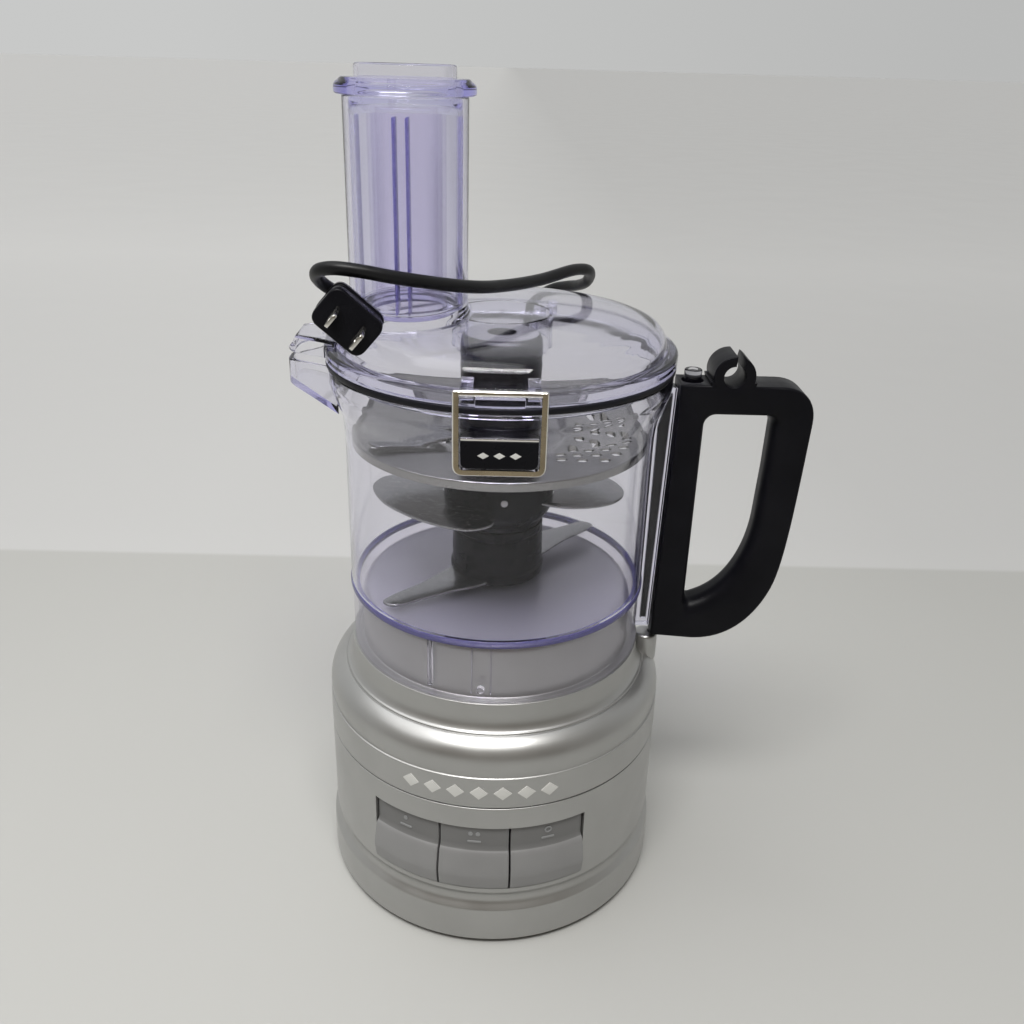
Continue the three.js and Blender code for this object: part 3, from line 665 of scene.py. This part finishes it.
def make_base():
    body = turned("base_housing", [
        (86, 2), (90.4, 2, 1), (92, 3.6, 1.5), (92, 23, 1.6), (91, 24.4, 1), (89, 27, 2), (88.5, 29.6, 2),
        (89, 32.4, 1.6), (90.2, 34, 1.4), (90.2, 88.7, 0.5), (86, 88.7),
    ], FINE)
    window = wedge("window", -41.2, 31.4, 36.9, 76.5)
    lead_hole = rod("lead_hole", 6.3, (0, 80, GLAND_HEIGHT), (0, 96, GLAND_HEIGHT))
    place(cut(body, window, lead_hole), "base", PAINT, ["base_body"])

    cover = turned("base_shoulder", [
        (83.5, 83.7), (85.6, 83.7), (85.6, 89.2), (89.9, 89.2, 0.4), (90.3, 90, 0.4), (90, 106.7, 0.3),
        (89.3, 107, 0.2), (89.3, 107.8, 0.3), (90, 113, 3), (89.2, 117.4, 3), (87.1, 121.2, 3),
        (84.2, 124, 2), (81.4, 125.7, 0.8), (80.7, 125.5, 0.2), (80.5, 126.3, 0.3), (79.6, 126.7, 1),
        (78, 128.9, 2), (77.0, 132.4, 2), (76.7, 137, 2), (76.6, 140.6, 0.5), (71, 140.6, 0.8), (71, 167, 3),
        (68.4, 170, 3), (9, 170), (9, 160), (12, 160), (12, 167.3), (68.3, 166), (68.3, 138.4), (74, 138.2),
        (75.4, 127.5), (82.6, 121.4), (86.6, 117), (87.6, 113), (87.6, 92.4), (83.5, 88),
    ], FINE)
    tower = turned("tower", [(0, 121), (6.5, 121), (6.5, 136.5, 2.2), (0, 136.5)], 48, (82.5, 0))
    bore = drum("bore", 2.1, 128, 140, 24, (85.5, 0))
    drum_space = drum("drum_space", 76.0, 118, 140, 64)
    cover = cut(joined(cover, cut(tower, drum_space)), bore)
    place(cover, "base", PAINT, ["base_top_cover"])

    for number, angle in enumerate((45, 135, 225, 315), 1):
        profile = [(0, 0), (7.2, 0, 0.8), (8, 3.7, 0.4), (0, 3.7)]
        foot = turned(f"rubber_foot_{number}", profile, 48, around(angle, 66))
        place(foot, "base", FOOT, [f"foot_{number}"])


def make_gland():
    """The lead's strain relief: a flange inside the wall and six tapering ribs outside it."""
    profile = [(0, 81), (8, 81), (8, 84.6, 0.5), (5.8, 84.8), (5.8, 92.6)]
    for i in range(6):
        y = 93.4 + i * 3.6
        crest = 5.8 - 0.3 * i
        root = crest - 1.1
        profile += [(crest, y, 0.4), (crest, y + 2.2, 0.4), (root, y + 2.4, 0.3), (root, y + 3.4, 0.3)]
    profile += [(4.0, 115.4, 0.4), (3.9, 117.4, 0.5), (0, 117.4)]
    piece = turned("strain_relief", profile, 48, steps=3)
    moved(piece, shift(0, 0, GLAND_HEIGHT) @ about("X", -90))
    place(piece, "base", CORD, ["lead_gland"])


# The angles, in degrees from the front, between which each key lies.
KEYS = {"low": (-40.8, -17.1), "high": (-16.5, 5.8), "pulse": (6.4, 31.0)}
KEY_RADIUS = 88.75
MARK_RELIEF = 0.12


def sector(name, profile, start, end, steps=30):
    """A profile of (radius, height) swept between two angles from the front."""
    outline = rounded(profile, steps=4)
    rings = []
    for i in range(steps + 1):
        angle = start + (end - start) * i / steps
        rings.append([(*around(angle, r), z) for r, z in outline])
    return loft(name, rings)


def make_keys():
    paddle_top = 61.6
    for key, (start, end) in KEYS.items():
        piece = sector(f"key_{key}", [
            (83.6, 37.4), (90.6, 37.4, 0.6), (91.8, 39, 0.8), (92.85, 46.6, 1.6), (92.5, 51, 2),
            (91.5, 57, 2), (90.8, 60.4, 1.4), (89.2, 62.2, 0.8), (88.85, 64, 0.5), (88.8, 76.1, 0.5),
            (83.6, 76.1),
        ], start, end)
        bevelled(piece, 0.45, 50)
        middle = (start + end) / 2
        stem = rod("stem", 3.2, (0, -85, 52), (0, -74, 52), 24)
        moved(stem, about("Z", middle))
        joined(piece, stem)
        place(piece, f"key_{key}", [KEY_FACE, KEY_TOP], [f"button_{key}"])
        for face in piece.data.polygons:
            face.material_index = 1 if face.center.z > paddle_top * MM else 0
        make_key_marks(key, middle)


def on_face(piece, angle, radius):
    """Stands a flat mark, drawn in the XZ plane at y = 0, on the curved face at an angle."""
    for vertex in piece.data.vertices:
        x, y, z = vertex.co
        turn = math.radians(angle) + x / (radius * MM)
        reach = radius * MM - y
        vertex.co = (reach * math.sin(turn), -reach * math.cos(turn), z)
    return piece


def make_key_marks(key, middle):
    """Plain marks in place of words: one dot, two dots or a ring, over a short dash."""
    outline = panel(-3.4, 66.2, 3.4, 67.3, 0.5, 0.5)
    dash = slab(f"dash_{key}", [outline], -0.5, MARK_RELIEF, 0.05, "xz")
    place(on_face(dash, middle, KEY_RADIUS), f"key_{key}", KEY_MARK)
    height = 71.6
    outlines = {
        "low": [circle(1.15, 24, (0, height))],
        "high": [circle(1.15, 24, (x, height)) for x in (-1.84, 1.84)],
        "pulse": [circle(1.9, 32, (0, height)), circle(1.2, 32, (0, height))],
    }
    sign = slab(f"sign_{key}", outlines[key], -0.5, MARK_RELIEF, 0.03, "xz")
    place(on_face(sign, middle, KEY_RADIUS), f"key_{key}", KEY_MARK)


def make_band_mark():
    """A generic mark on the shoulder band: a row of lozenges."""
    pitch, half, rise, height = 11.6, 4.4, 3.8, 98.6
    outlines = []
    for i in range(-3, 4):
        x = i * pitch
        outlines.append([(x - half, height), (x, height - rise), (x + half, height), (x, height + rise)])
    mark = slab("band_mark", outlines, -0.5, 0.1, 0.03, "xz")
    place(on_face(mark, -4, 90.1), "base", MARK)


make_base()
make_gland()
make_keys()
make_band_mark()

# ---- bowl
HINGE = {"y": 90, "z": 289.5, "radius": 3.6}
SPOUT = {"tip": -102, "root": 24, "nose": 9}


def spout_outline(inset):
    tip, nose, root = SPOUT["tip"] + inset, SPOUT["nose"] - inset, SPOUT["root"] - inset
    neck = root * 0.72
    return rounded([(-74, root), (-84, neck, 6), (tip, nose, 7), (tip, -nose, 7), (-84, -neck, 6),
                    (-74, -root)], steps=8)


def bored_lug(name, near, far, arm):
    """An arm between two (y, z) corners, with a knuckle on the hinge line bored for the pin."""
    line = HINGE["y"], HINGE["z"]
    knuckle = rod(f"{name}_knuckle", HINGE["radius"], (near, *line), (far, *line))
    bore = rod(f"{name}_bore", 1.8, (near - 1, *line), (far + 1, *line), 24)
    low, high = arm
    return cut(joined(block(name, (near, *low), (far, *high), 0.5), knuckle), bore)


def make_bowl():
    shell = turned("bowl", [
        (74.5, 175.5), (76.4, 175.5), (76.3, 256, 8), (77.6, 266, 5), (80.6, 273, 4), (82.7, 279.4, 1.5),
        (83, 281.4, 0.8), (83, 287.9, 0.8), (80.7, 287.9, 0.8), (80.5, 281, 1), (78.6, 274.6, 4),
        (75.8, 266.4, 5), (74.5, 257, 6),
    ], FINE)
    rim = turned("bowl_rim", [
        (75.9, 171.9), (76.9, 171.9, 0.8), (76.9, 174.4, 0.8), (76.4, 175.4, 0.4), (74.5, 175.4),
        (73.2, 174.4, 0.5), (72.4, 174.3), (72.4, 172.3), (75.9, 172.3),
    ], FINE)
    place(rim, "bowl", EDGE, ["bowl_shell"], 28)
    floor_and_skirt = turned("bowl_floor", [
        (73.6, 140.9, 0.5), (75.8, 140.9, 0.6), (75.8, 172.1), (72.3, 172.1), (72.3, 174.2),
        (8.2, 174.2, 1.5), (8.2, 226, 0.6), (6.2, 226, 0.6), (6.2, 172.2), (71.6, 172.2), (73.6, 171),
    ], FINE)
    spout, channel = spout_and_channel()
    parts = [spout, bowl_fin()]
    for side in (-1, 1):
        near, far = sorted((side * 20, side * 25))
        parts.append(bored_lug(f"bowl_lug_{near}", near, far, ((78, 280.4), (90, 287.6))))
    parts.append(block("catch", (-12, -87.6, 273), (12, -79.4, 277), 0.6))
    ribs = skirt_ribs()
    bowl = cut(joined(shell, *parts), channel)
    place(bowl, "bowl", CLEAR, ["bowl_shell"], 28)
    place(floor_and_skirt, "bowl", FILM, ["bowl_shell"], 28)
    place(joined(*ribs), "bowl", CLEAR, ["bowl_shell"], 28)
    outline = [(78.7, 147), (81.3, 147), (84.1, 272), (82.8, 272), (78.7, 257)]
    liner = slab("fin_liner", [outline], -2.2, 2.2, 0.4, "xz")
    place(liner, "bowl", NAVY)


def spout_and_channel():
    """The pouring spout's body, and the channel to cut through it and the top of the bowl's wall."""
    slope = [(-126, 236), (-60, 236), (-60, 261), (-80, 267), (-97, 275), (-104, 277), (-126, 277)]
    hollow = drum("hollow", 79.4, 250, 300)
    spout = slab("spout", [spout_outline(0)], 250, 287.9, 0.8)
    under = slab("under", [rounded([(x, z, 8) for x, z in slope])], -40, 40, plane="xz")
    spout = cut(spout, hollow, under)
    channel = slab("channel", [spout_outline(2)], 256, 300)
    floor = slab("floor", [rounded([(x, z + 3, 8) for x, z in slope])], -50, 50, plane="xz")
    keep = turned("keep", [(0, 240), (74.6, 240), (79, 274), (80.4, 281), (80.4, 281.5), (0, 281.5)], MEDIUM)
    return spout, cut(cut(channel, floor), keep)


def bowl_fin():
    fin = slab("fin", [[(75.6, 142), (83.2, 142), (86.2, 277), (81, 277), (75.6, 257)]], -4, 4, 0.8, "xz")
    outline = [(78.4, 146), (81.6, 146), (84.4, 273), (82.6, 273), (78.4, 256)]
    return cut(fin, slab("groove", [outline], -2.4, 2.4, 0.4, "xz"))


def skirt_ribs():
    """The moulded ribs inside the skirt and the round boss beside them."""
    ribs = []
    for angle, half in ((-25.4, 1.0), (-8.6, 0.35), (-1.4, 0.35)):
        x, y = around(angle, 72.3)
        rib = block("rib", (-half, -1.1, 144), (half, 1.1, 171.6), 0.25)
        moved(rib, shift(x, y, 0) @ about("Z", angle))
        ribs.append(rib)
    dot = rod("dot", 1.9, (0, -76.4, 147.8), (0, -74, 147.8), 32)
    ribs.append(moved(dot, about("Z", -5)))
    return ribs


make_bowl()

# ---- handle
CLIP = {"x": 112, "z": 284.4, "outer": 10.2, "inner": 5.4}
DEPTH = 10  # half the handle's thickness
BUTTON_AT = (93.5, 0)


def handle_outline():
    foot = rounded([(83.5, 139.8, 1.5), (106, 138.2)], False)
    heel = bezier((107, 138.2), (125, 138.4), (137, 150), (144, 167), 16)
    back = bezier((144, 167), (149.4, 180), (150.8, 205), (153, 262), 14)[1:]
    shoulder = bezier((153, 262), (153.4, 273), (147, 280), (136, 280), 12)[1:]
    return foot + heel + back + shoulder + [(86.6, 280)]


def handle_hole(flare):
    """The hole's outline: 0 at its narrowest, 1 at the front and back faces."""
    side, foot, near, top = 9 * flare, 8.4 * flare, 2.2 * flare, 2.4 * flare
    left, right, low, high = 100.4 - near, 133.8 + side, 160.4 - foot, 264.4 + top
    corner = 5 + 5 * flare
    upper_left = arc((left + 6, high - 6), 6, 180, 90, 8)
    upper_right = arc((right - corner, high - corner), corner, 90, 0, 10)
    lower = bezier((right - 1.6, 208 - foot / 2), (right - 3, 186 - foot / 2), (right - 12, 168 - foot),
                   (107, low + 1), 22)
    lower_left = bezier((107, low + 1), (101.4, low - 1.6), (left, low - 0.4), (left, low + 7), 10)[1:]
    return upper_left + upper_right + [(right - 0.4, 236)] + lower + lower_left


def flared_hole():
    """The finger hole, whose rim opens out in a quarter round towards the front and back faces."""
    reach = 8.0
    depths = [-DEPTH - 1] + [-DEPTH + reach * i / 8 for i in range(9)]
    depths += [-d for d in reversed(depths)]
    rings = []
    for y in depths:
        t = max(0.0, (abs(y) - (DEPTH - reach)) / reach)
        flare = 1 - math.sqrt(max(0.0, 1 - min(t, 1) ** 2))
        rings.append([(x, y, z) for x, z in handle_hole(flare)])
    return loft("hole", rings)


def make_handle():
    x, z = CLIP["x"], CLIP["z"]
    grip = cut(slab("grip", [handle_outline()], -DEPTH, DEPTH, 1.5, "xz", 4), flared_hole())
    clip = rod("clip", CLIP["outer"], (x, -DEPTH, z), (x, DEPTH, z), 72, 0.8)
    boss = rod("boss", 11.4, (x, -DEPTH + 0.2, z - 0.8), (x, DEPTH - 0.2, z - 0.8), 72, 0.8)
    boss = cut(boss, block("above", (95, -12, 281.8), (130, 12, 300), 0))
    bore = rod("bore", CLIP["inner"], (x, -12, z), (x, 12, z), 48, 0)
    outline = [(x - 0.4, z + 1), (x + 3.4, z + 1), (x + 6.2, z + 14), (x + 0.6, z + 14)]
    mouth = slab("mouth", [outline], -12, 12, plane="xz")
    seat = drum("seat", 5.6, 262, 281, 40, BUTTON_AT)
    outline = [(83.9, 130), (87.3, 130), (91.8, 268), (88.2, 268), (83.9, 144)]
    channel = slab("channel", [outline], -1.8, 1.8, plane="xz")
    handle = cut(joined(grip, boss, clip), bore, mouth, seat, channel)
    bevelled(handle, 0.35, 60, 2)
    place(handle, "bowl", BLACK, ["handle"], 40)
    button = turned("safety_button", [
        (0, 273.3), (5.3, 273.3), (5.3, 275.9, 0.4), (4.3, 276.2), (4.3, 285.6, 0.7), (2.6, 285.6, 0.3),
        (2.2, 284.6, 0.3), (0, 284.6),
    ], 48, BUTTON_AT)
    place(button, "interlock", SMOKE, ["interlock_button"])


make_handle()

# ---- lid
TUBE = {"centre": (-43.6, -4), "half": (27.3, 34), "top": 404.6}
LATCH = {"y": -90, "z": 299.6, "half": 19.3, "low": 264.5, "bar": 2.7}


def lid_nose():
    """The cover over the bowl's spout, hollow underneath."""
    nose = slab("nose", [spout_outline(0.4)], 291.5, 300.4, 0.8)
    middle = drum("middle", 77.5, 280, 302)
    outline = rounded([(-112, 289), (-101.5, 292, 4), (-95, 302.5), (-95, 306), (-112, 306)])
    nose = cut(nose, middle, slab("nose_cut", [outline], -40, 40, plane="xz"))
    hollow = slab("nose_hollow", [spout_outline(2.4)], 291, 298.4)
    inside = drum("inside", 80.2, 280, 302)
    return cut(nose, cut(hollow, inside))


def lid_core():
    """The space inside the lid's wall, which the parts joined to its outside stay out of."""
    return drum("core", 77.8, 280, 310)


def make_lid():
    dome = turned("lid", [
        (76, 284.2, 0.6), (78.2, 284.2, 0.6), (78.2, 291.5), (84, 291.5, 0.5), (84, 296.6, 0.8),
        (82.8, 297.5, 0.8), (79.2, 297.8, 0.8), (78.4, 300.6, 2), (77.2, 304.2, 2), (74.2, 307.4, 2),
        (69, 309.4, 4), (60, 310.7, 6), (30, 311.6, 10), (0.01, 312), (0.01, 309.8), (30, 309.4, 8),
        (60, 308.5, 6), (68.2, 307.3, 3), (72.6, 305.4, 2), (75.2, 302.6, 2), (76, 299.6, 1),
    ], FINE)
    half_x, half_y = TUBE["half"]
    top, centre = TUBE["top"], TUBE["centre"]
    wall = oval_turned("feed_tube", [(-2, 316.1), (0, 316.1), (0, top, 0.8), (-2, top, 0.6)],
                       half_x, half_y, centre)
    place(wall, "lid", THIN, ["lid_shell"], 28)
    profile = [(None, 309), (2.6, 309), (0.6, 312.6, 1), (-0.4, 316), (None, 316)]
    skirt = oval_turned("skirt", profile, half_x, half_y, centre)
    bore = oval_turned("bore", [(None, 300), (-2, 300), (-2, 410), (None, 410)], half_x, half_y, centre)
    parts = [skirt, lid_nose()]
    line = LATCH["y"], LATCH["z"]
    for near, far in ((-16.2, -10.8), (10.8, 16.2)):
        boss = block("boss", (near, -90, 296.9), (far, -76, 302.4), 0.6)
        knuckle = rod("knuckle", 2.8, (near, *line), (far, *line))
        pin_bore = rod("pin_bore", 1.7, (near - 1, *line), (far + 1, *line), 24)
        parts.append(cut(joined(boss, knuckle), pin_bore, lid_core()))
    parts.append(cut(block("tab", (-10.4, -87.8, 292.2), (10.2, -79, 296.4), 0.8), lid_core()))
    for side in (-1, 1):
        near, far = sorted((side * 25.3, side * 31))
        lug = bored_lug(f"lid_lug_{near}", near, far, ((76, 292), (90, 295.8)))
        parts.append(cut(lug, lid_core()))
    parts.append(turned("socket", [(22.4, 297), (24, 297, 0.4), (24, 311.2), (22.4, 311.2)], MEDIUM))
    lid = cut(joined(dome, *parts), bore)
    place(lid, "lid", CLEAR, ["lid_shell"], 28)
    profile = [(79, 288.2, 0.6), (83.8, 288.2, 1.2), (83.8, 291.2, 1.2), (79, 291.2, 0.6)]
    place(turned("gasket", profile, FINE), "lid", GASKET, ["lid_gasket"])


def make_latch():
    half, low, bar, y, z = (LATCH[key] for key in ("half", "low", "bar", "y", "z"))
    pin_radius = 1.35
    top = z + pin_radius
    outer = panel(-half, low, half, top, 4.8, 1.2, 8)
    inner = panel(-half + bar, low + bar, half - bar, top - 0.1, 2.2, 0, 6)
    opening = slab("opening", [inner], -3, 3, plane="xz")
    frame_bar = slab("latch_frame", [outer], -1.5, 1.5, 0.95, "xz")
    above = block("above", (-half + bar, -3, top - 3), (half - bar, 3, top + 3), 0)
    frame_bar = cut(frame_bar, opening, above)
    moved(frame_bar, shift(0, y, 0))
    bevelled(frame_bar, 0.4, 50)
    pin = rod("pin", pin_radius, (-half + 1, y, z), (half - 1, y, z), 40)
    bail = place(joined(frame_bar, pin), "latch", [CHROME, PAINTED_REFLECTION], ["latch_bail"])
    # The bail's flat front faces take the brown metal: a painted reflection on the chrome.
    for face in bail.data.polygons:
        face.material_index = 1 if face.normal.y < -0.98 else 0
    edge = 15.9
    plate = panel(-edge, 267.6, edge, 279.8, 3.4, 0.5, 7)
    badge = slab("badge", [plate], y - 1.1, y + 1.3, 0.4, "xz")
    place(badge, "latch", HUB_BLACK, ["latch_badge"])
    strip = block("badge_strip", (-edge, y - 1.0, 279.9), (edge, y + 0.8, 280.9), 0.3)
    place(strip, "latch", CHROME)
    lozenges = [[(x - 2.4, 273.6), (x, 272.2), (x + 2.4, 273.6), (x, 275)] for x in (-6.6, 0, 6.6)]
    mark = slab("badge_mark", lozenges, y - 1.2, y - 0.9, 0.03, "xz")
    place(mark, "latch", MARK)


def make_pusher():
    half_x, half_y = TUBE["half"]
    centre = TUBE["centre"]
    body = oval_turned("feed_pusher", [
        (None, 313), (-2.6, 313, 2), (-2.6, 404.8, 0.6), (3.3, 404.9, 1.2), (3.3, 409, 1.6), (1, 410.6, 1.2),
        (0.2, 411.6, 0.6), (None, 411.6),
    ], half_x, half_y, centre)
    profile = [(0, 410.5), (22, 410.5), (22, 416.2, 0.8), (21.3, 417, 0.6), (0, 417)]
    collar = turned("collar", profile, MEDIUM, centre)
    profile = [(None, 315.2), (-4.6, 315.2, 2), (-4.6, 400, 4), (-9, 407, 3), (None, 407)]
    hollow = oval_turned("hollow", profile, half_x, half_y, centre)
    mouth = drum("mouth", 20.3, 401, 420, MEDIUM, centre)
    bore = drum("bore", 17.8, 310, 330, 72, centre)
    shell = cut(joined(body, collar), hollow, mouth, bore)
    place(shell, "feed_pusher", THIN, ["pusher"], 28)
    profile = [(16, 313, 0.4), (17.6, 313, 0.4), (17.6, 398, 0.5), (16, 398, 0.5)]
    sleeve = turned("pusher_sleeve", profile, 72, centre)
    place(sleeve, "feed_pusher", FILM, ["pusher"], 28)
    at_sides = centre[1] - 6, centre[1] + 6
    at_front = -33, -22
    ribs = ((-23.9, *at_sides), (24, *at_sides), (-2.8, *at_front), (2.6, *at_front))
    for number, (offset, near, far) in enumerate(ribs):
        x = centre[0] + offset
        rib = block(f"pusher_rib_{number}", (x - 0.45, near, 316), (x + 0.45, far, 397), 0.1)
        place(rib, "feed_pusher", VIOLET)


def make_small_pusher():
    x, y = TUBE["centre"]
    cup = turned("cup_pusher", [
        (0, 313.4), (15.5, 313.4, 1), (15.5, 398.4), (18.4, 398.6, 0.6), (19.6, 400, 0.8),
        (19.6, 401.6, 0.5), (14.4, 401, 0.5), (13.9, 400), (13.9, 315.6, 1.2), (0, 315.6),
    ], MEDIUM, (x, y))
    tab = block("tab", (x - 7, y - 6, 400), (x - 4.8, y + 6, 407.4), 0.5)
    web = block("web", (x - 15, y - 1.1, 398.8), (x - 4.8, y + 1.1, 401), 0.3)
    cup = joined(cup, joined(tab, web))
    place(cup, "cup_pusher", FILM, ["small_pusher"], 28)


make_lid()
make_latch()
make_pusher()
make_small_pusher()

# ---- tools
UPPER_BLADE = [(-12, 14), (-34, 22), (-56, 16), (-64.5, 2), (-58, -18), (-44, -34), (-30, -44), (-14, -49.5),
               (-3, -44), (-2, -20)]
LOWER_BLADE = [(-14, 4), (-25, -10), (-38, -27), (-52, -41), (-54.5, -46), (-49, -49.5), (-36, -42),
               (-22, -34), (-6, -26), (0, -12)]


def spline(points):
    flat = smooth_route([(x, y, 0) for x, y in points], 1.2)
    return [(p.x, p.y) for p in flat]


# Each kind's outline, underside height, thickness and clear radius round its hub.
BLADES = {"upper": (UPPER_BLADE, 219, 1.4, 28.3), "lower": (LOWER_BLADE, 177.4, 1.6, 24.6)}


def make_blades():
    for number, turn in ((1, 0), (2, 180)):
        for kind, (points, low, thick, clear) in BLADES.items():
            piece = slab(f"{kind}_knife_{number}", [spline(points)], low, low + thick, 0.5, "xy", 2)
            core = drum("core", clear, low - 2, low + 4)
            cut(piece, core)
            moved(piece, about("Z", turn))
            place(piece, "tools", BLADE, [f"{kind}_blade_{number}"], 50)


def make_hubs():
    low = turned("lower_hub_moulding", [
        (12.8, 175), (22.6, 175, 0.6), (24.3, 176.4, 0.8), (24.3, 180.6, 0.6), (23.5, 181.6, 0.4),
        (23.3, 199, 0.4), (22.7, 199.4, 0.2), (22.7, 200.4, 0.2), (23.2, 200.8, 0.3), (23.2, 204.7, 0.6),
        (12.8, 204.7),
    ], MEDIUM)
    place(low, "tools", HUB_BLACK, ["lower_hub"])
    high = turned("upper_hub_moulding", [
        (12.8, 205), (22.6, 205, 0.6), (23.2, 208, 1), (26.2, 211, 2), (27.6, 214, 2), (28, 218, 1),
        (28, 237, 2), (26.8, 247.6, 0.8), (12.8, 247.6),
    ], MEDIUM)
    lug = block("lug", (26, -3, 226), (31.4, 3, 231), 0.7)
    moved(lug, about("Z", -18))
    joined(high, lug)
    place(high, "tools", HUB_BLACK, ["upper_hub"])
    dot = rod("hub_dot", 1.7, (0, -28.7, 224), (0, -26, 224), 24)
    place(moved(dot, about("Z", 6)), "tools", MARK)
    stem = turned("stem", [
        (0, 252), (20.6, 252, 0.4), (20.6, 255.6, 0.6), (19.6, 256.6, 0.5), (19.6, 298.2, 1.4),
        (17.8, 300.4, 1), (7, 300.4, 0.6), (6, 297, 0.6), (0, 297),
    ], MEDIUM)
    place(stem, "tools", [HUB_BLACK, KEY_FACE], ["disc_hub"])
    for face in stem.data.polygons:
        on_top = face.center.z > 299 * MM and face.normal.z > 0.9
        face.material_index = 1 if on_top else 0


def make_disc():
    sheet = turned("tool_disc", [
        (19, 250.4), (30.6, 250.4, 1), (34, 251.6, 1), (70.4, 251.6, 0.5), (71, 249.8, 0.4),
        (73, 249.8, 0.4), (73.2, 253.9, 0.5), (72.4, 254.4, 0.4), (70.4, 252.9, 0.6), (33.6, 252.9, 1),
        (30, 251.7, 1), (19, 251.7),
    ], 144)
    holes = []
    for row, radius in enumerate((40, 47.5, 55, 62.5)):
        for i in range(5 + row):
            angle = 30 + row * 7 + i * 620 / radius
            holes.append(drum("hole", 2.7, 245, 258, 20, around(angle, radius)))
    knife_turn = about("Z", 205)
    holes.append(moved(block("slot", (26, -2, 246), (67, 3.4, 258), 0), knife_turn))
    cut(sheet, *holes)
    place(sheet, "tools", STEEL, ["slicing_disc"])
    outline = rounded([(24, -1.2, 1), (68, -1.6, 2), (67, 9, 4), (26, 8, 3)])
    knife = slab("disc_knife", [outline], 254.6, 255.6, 0.35)
    place(moved(knife, knife_turn), "tools", BLADE)


make_blades()
make_hubs()
make_disc()

# ---- carried-over CAD pieces
CARRIED = (
    (BLACK, "bottom_plate large_pulley small_pulley interlock_switch interlock_rod"),
    (BLACK, "switch_low switch_high switch_pulse"),
    (ZINC, "base_screw_1 base_screw_2 base_screw_3 motor_rotor hinge_pin_1 hinge_pin_2 rod_spring"),
    (CAST, "chassis_plate motor_end_cap"),
    (BRONZE, "spindle_bush_lower spindle_bush_upper"),
    (FOOT, "spindle_seal drive_belt"),
    (STEEL, "drive_spindle"),
    (WINDINGS, "motor_stator"),
    (BOARD, "control_board"),
    (HUB_BLACK, "drive_adapter"),
)
for look, nodes in CARRIED:
    for node in nodes.split():
        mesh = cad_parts[node].data
        mesh.materials.clear()
        mesh.materials.append(look)
        mesh.set_sharp_from_angle(angle=math.radians(30))


# ---- floor and light
def make_floor():
    """A pale table with a lighter field behind the object, with painted light: it brightens away from the
    object and to the left.
    """
    look = Look("table", (0.62, 0.62, 0.60), 0.55)
    look.rough(look.noise(6, 4), 0.5, 0.62)
    look.bump(look.noise(900, 3), 0.02, 0.15)
    split = look.node("ShaderNodeSeparateXYZ")
    look.join(look.place, split.inputs[0])
    far = look.spread(split.outputs["Y"], 0, 1, 0.336, 0.342)
    colour = look.mixed(far, (0.42, 0.42, 0.405), (0.50, 0.50, 0.495), 0, 1)
    # Painted light: the colour is scaled up away from the object, and scaled down towards the right as
    # painted shade.
    level = look.node("ShaderNodeMath", operation="MULTIPLY")
    look.join(look.spread(split.outputs["Y"], 1.0, 1.36, 0.4, 1.8), level.inputs[0])
    look.join(look.spread(split.outputs["X"], 1.04, 0.88, -0.3, 0.4), level.inputs[1])
    shade = look.node("ShaderNodeVectorMath", operation="SCALE")
    look.join(colour, shade.inputs[0])
    look.join(level.outputs[0], shade.inputs["Scale"])
    look.join(shade.outputs[0], look.shader.inputs["Base Color"])
    mesh = bpy.data.meshes.new("table")
    half = 60
    corners = [(-half, -half, 0), (half, -half, 0), (half, half, 0), (-half, half, 0)]
    mesh.from_pydata(corners, [], [(0, 1, 2, 3)])
    floor = linked("table", mesh)
    mesh.materials.append(look.material)


def make_world():
    """A pale room that is darker and warmer in front of the object, and dims from left to right."""
    world = bpy.data.worlds.new("studio")
    world.use_nodes = True
    nodes = Nodes(world.node_tree)
    background = nodes.tree.nodes["Background"]
    split = nodes.node("ShaderNodeSeparateXYZ")
    nodes.join(nodes.node("ShaderNodeTexCoord").outputs["Generated"], split.inputs[0])
    colour = nodes.mixed(split.outputs["Y"], (0.17, 0.145, 0.115), (0.56, 0.565, 0.56), -0.75, 0.25)
    nodes.join(colour, background.inputs["Color"])
    strength = nodes.spread(split.outputs["X"], 1.03, 0.86, -0.3, 0.4)
    nodes.join(strength, background.inputs["Strength"])
    SCENE.world = world


def lit(name, kind, power, toward, place_at=(0, 0, 0)):
    data = bpy.data.lights.new(name, kind)
    data.energy = power
    light = bpy.data.objects.new(name, data)
    light.location = place_at
    light.rotation_euler = Vector(toward).to_track_quat("-Z", "Y").to_euler()
    SCENE.collection.objects.link(light)
    return data


def make_light():
    """One softbox overhead in front and a broad, soft daylight."""
    place_at = Vector((-0.05, -0.72, 1.55))
    softbox = lit("overhead", "AREA", 20, Vector((0, 0, 0.12)) - place_at, place_at)
    softbox.shape = "RECTANGLE"
    softbox.size, softbox.size_y = 0.9, 0.34
    softbox.color = (1.0, 0.99, 0.97)
    daylight = lit("daylight", "SUN", 1.3, (0.38, 0.12, -1))
    daylight.angle = math.radians(60)
    SCENE.view_settings.view_transform = "Standard"


make_floor()
make_world()
make_light()
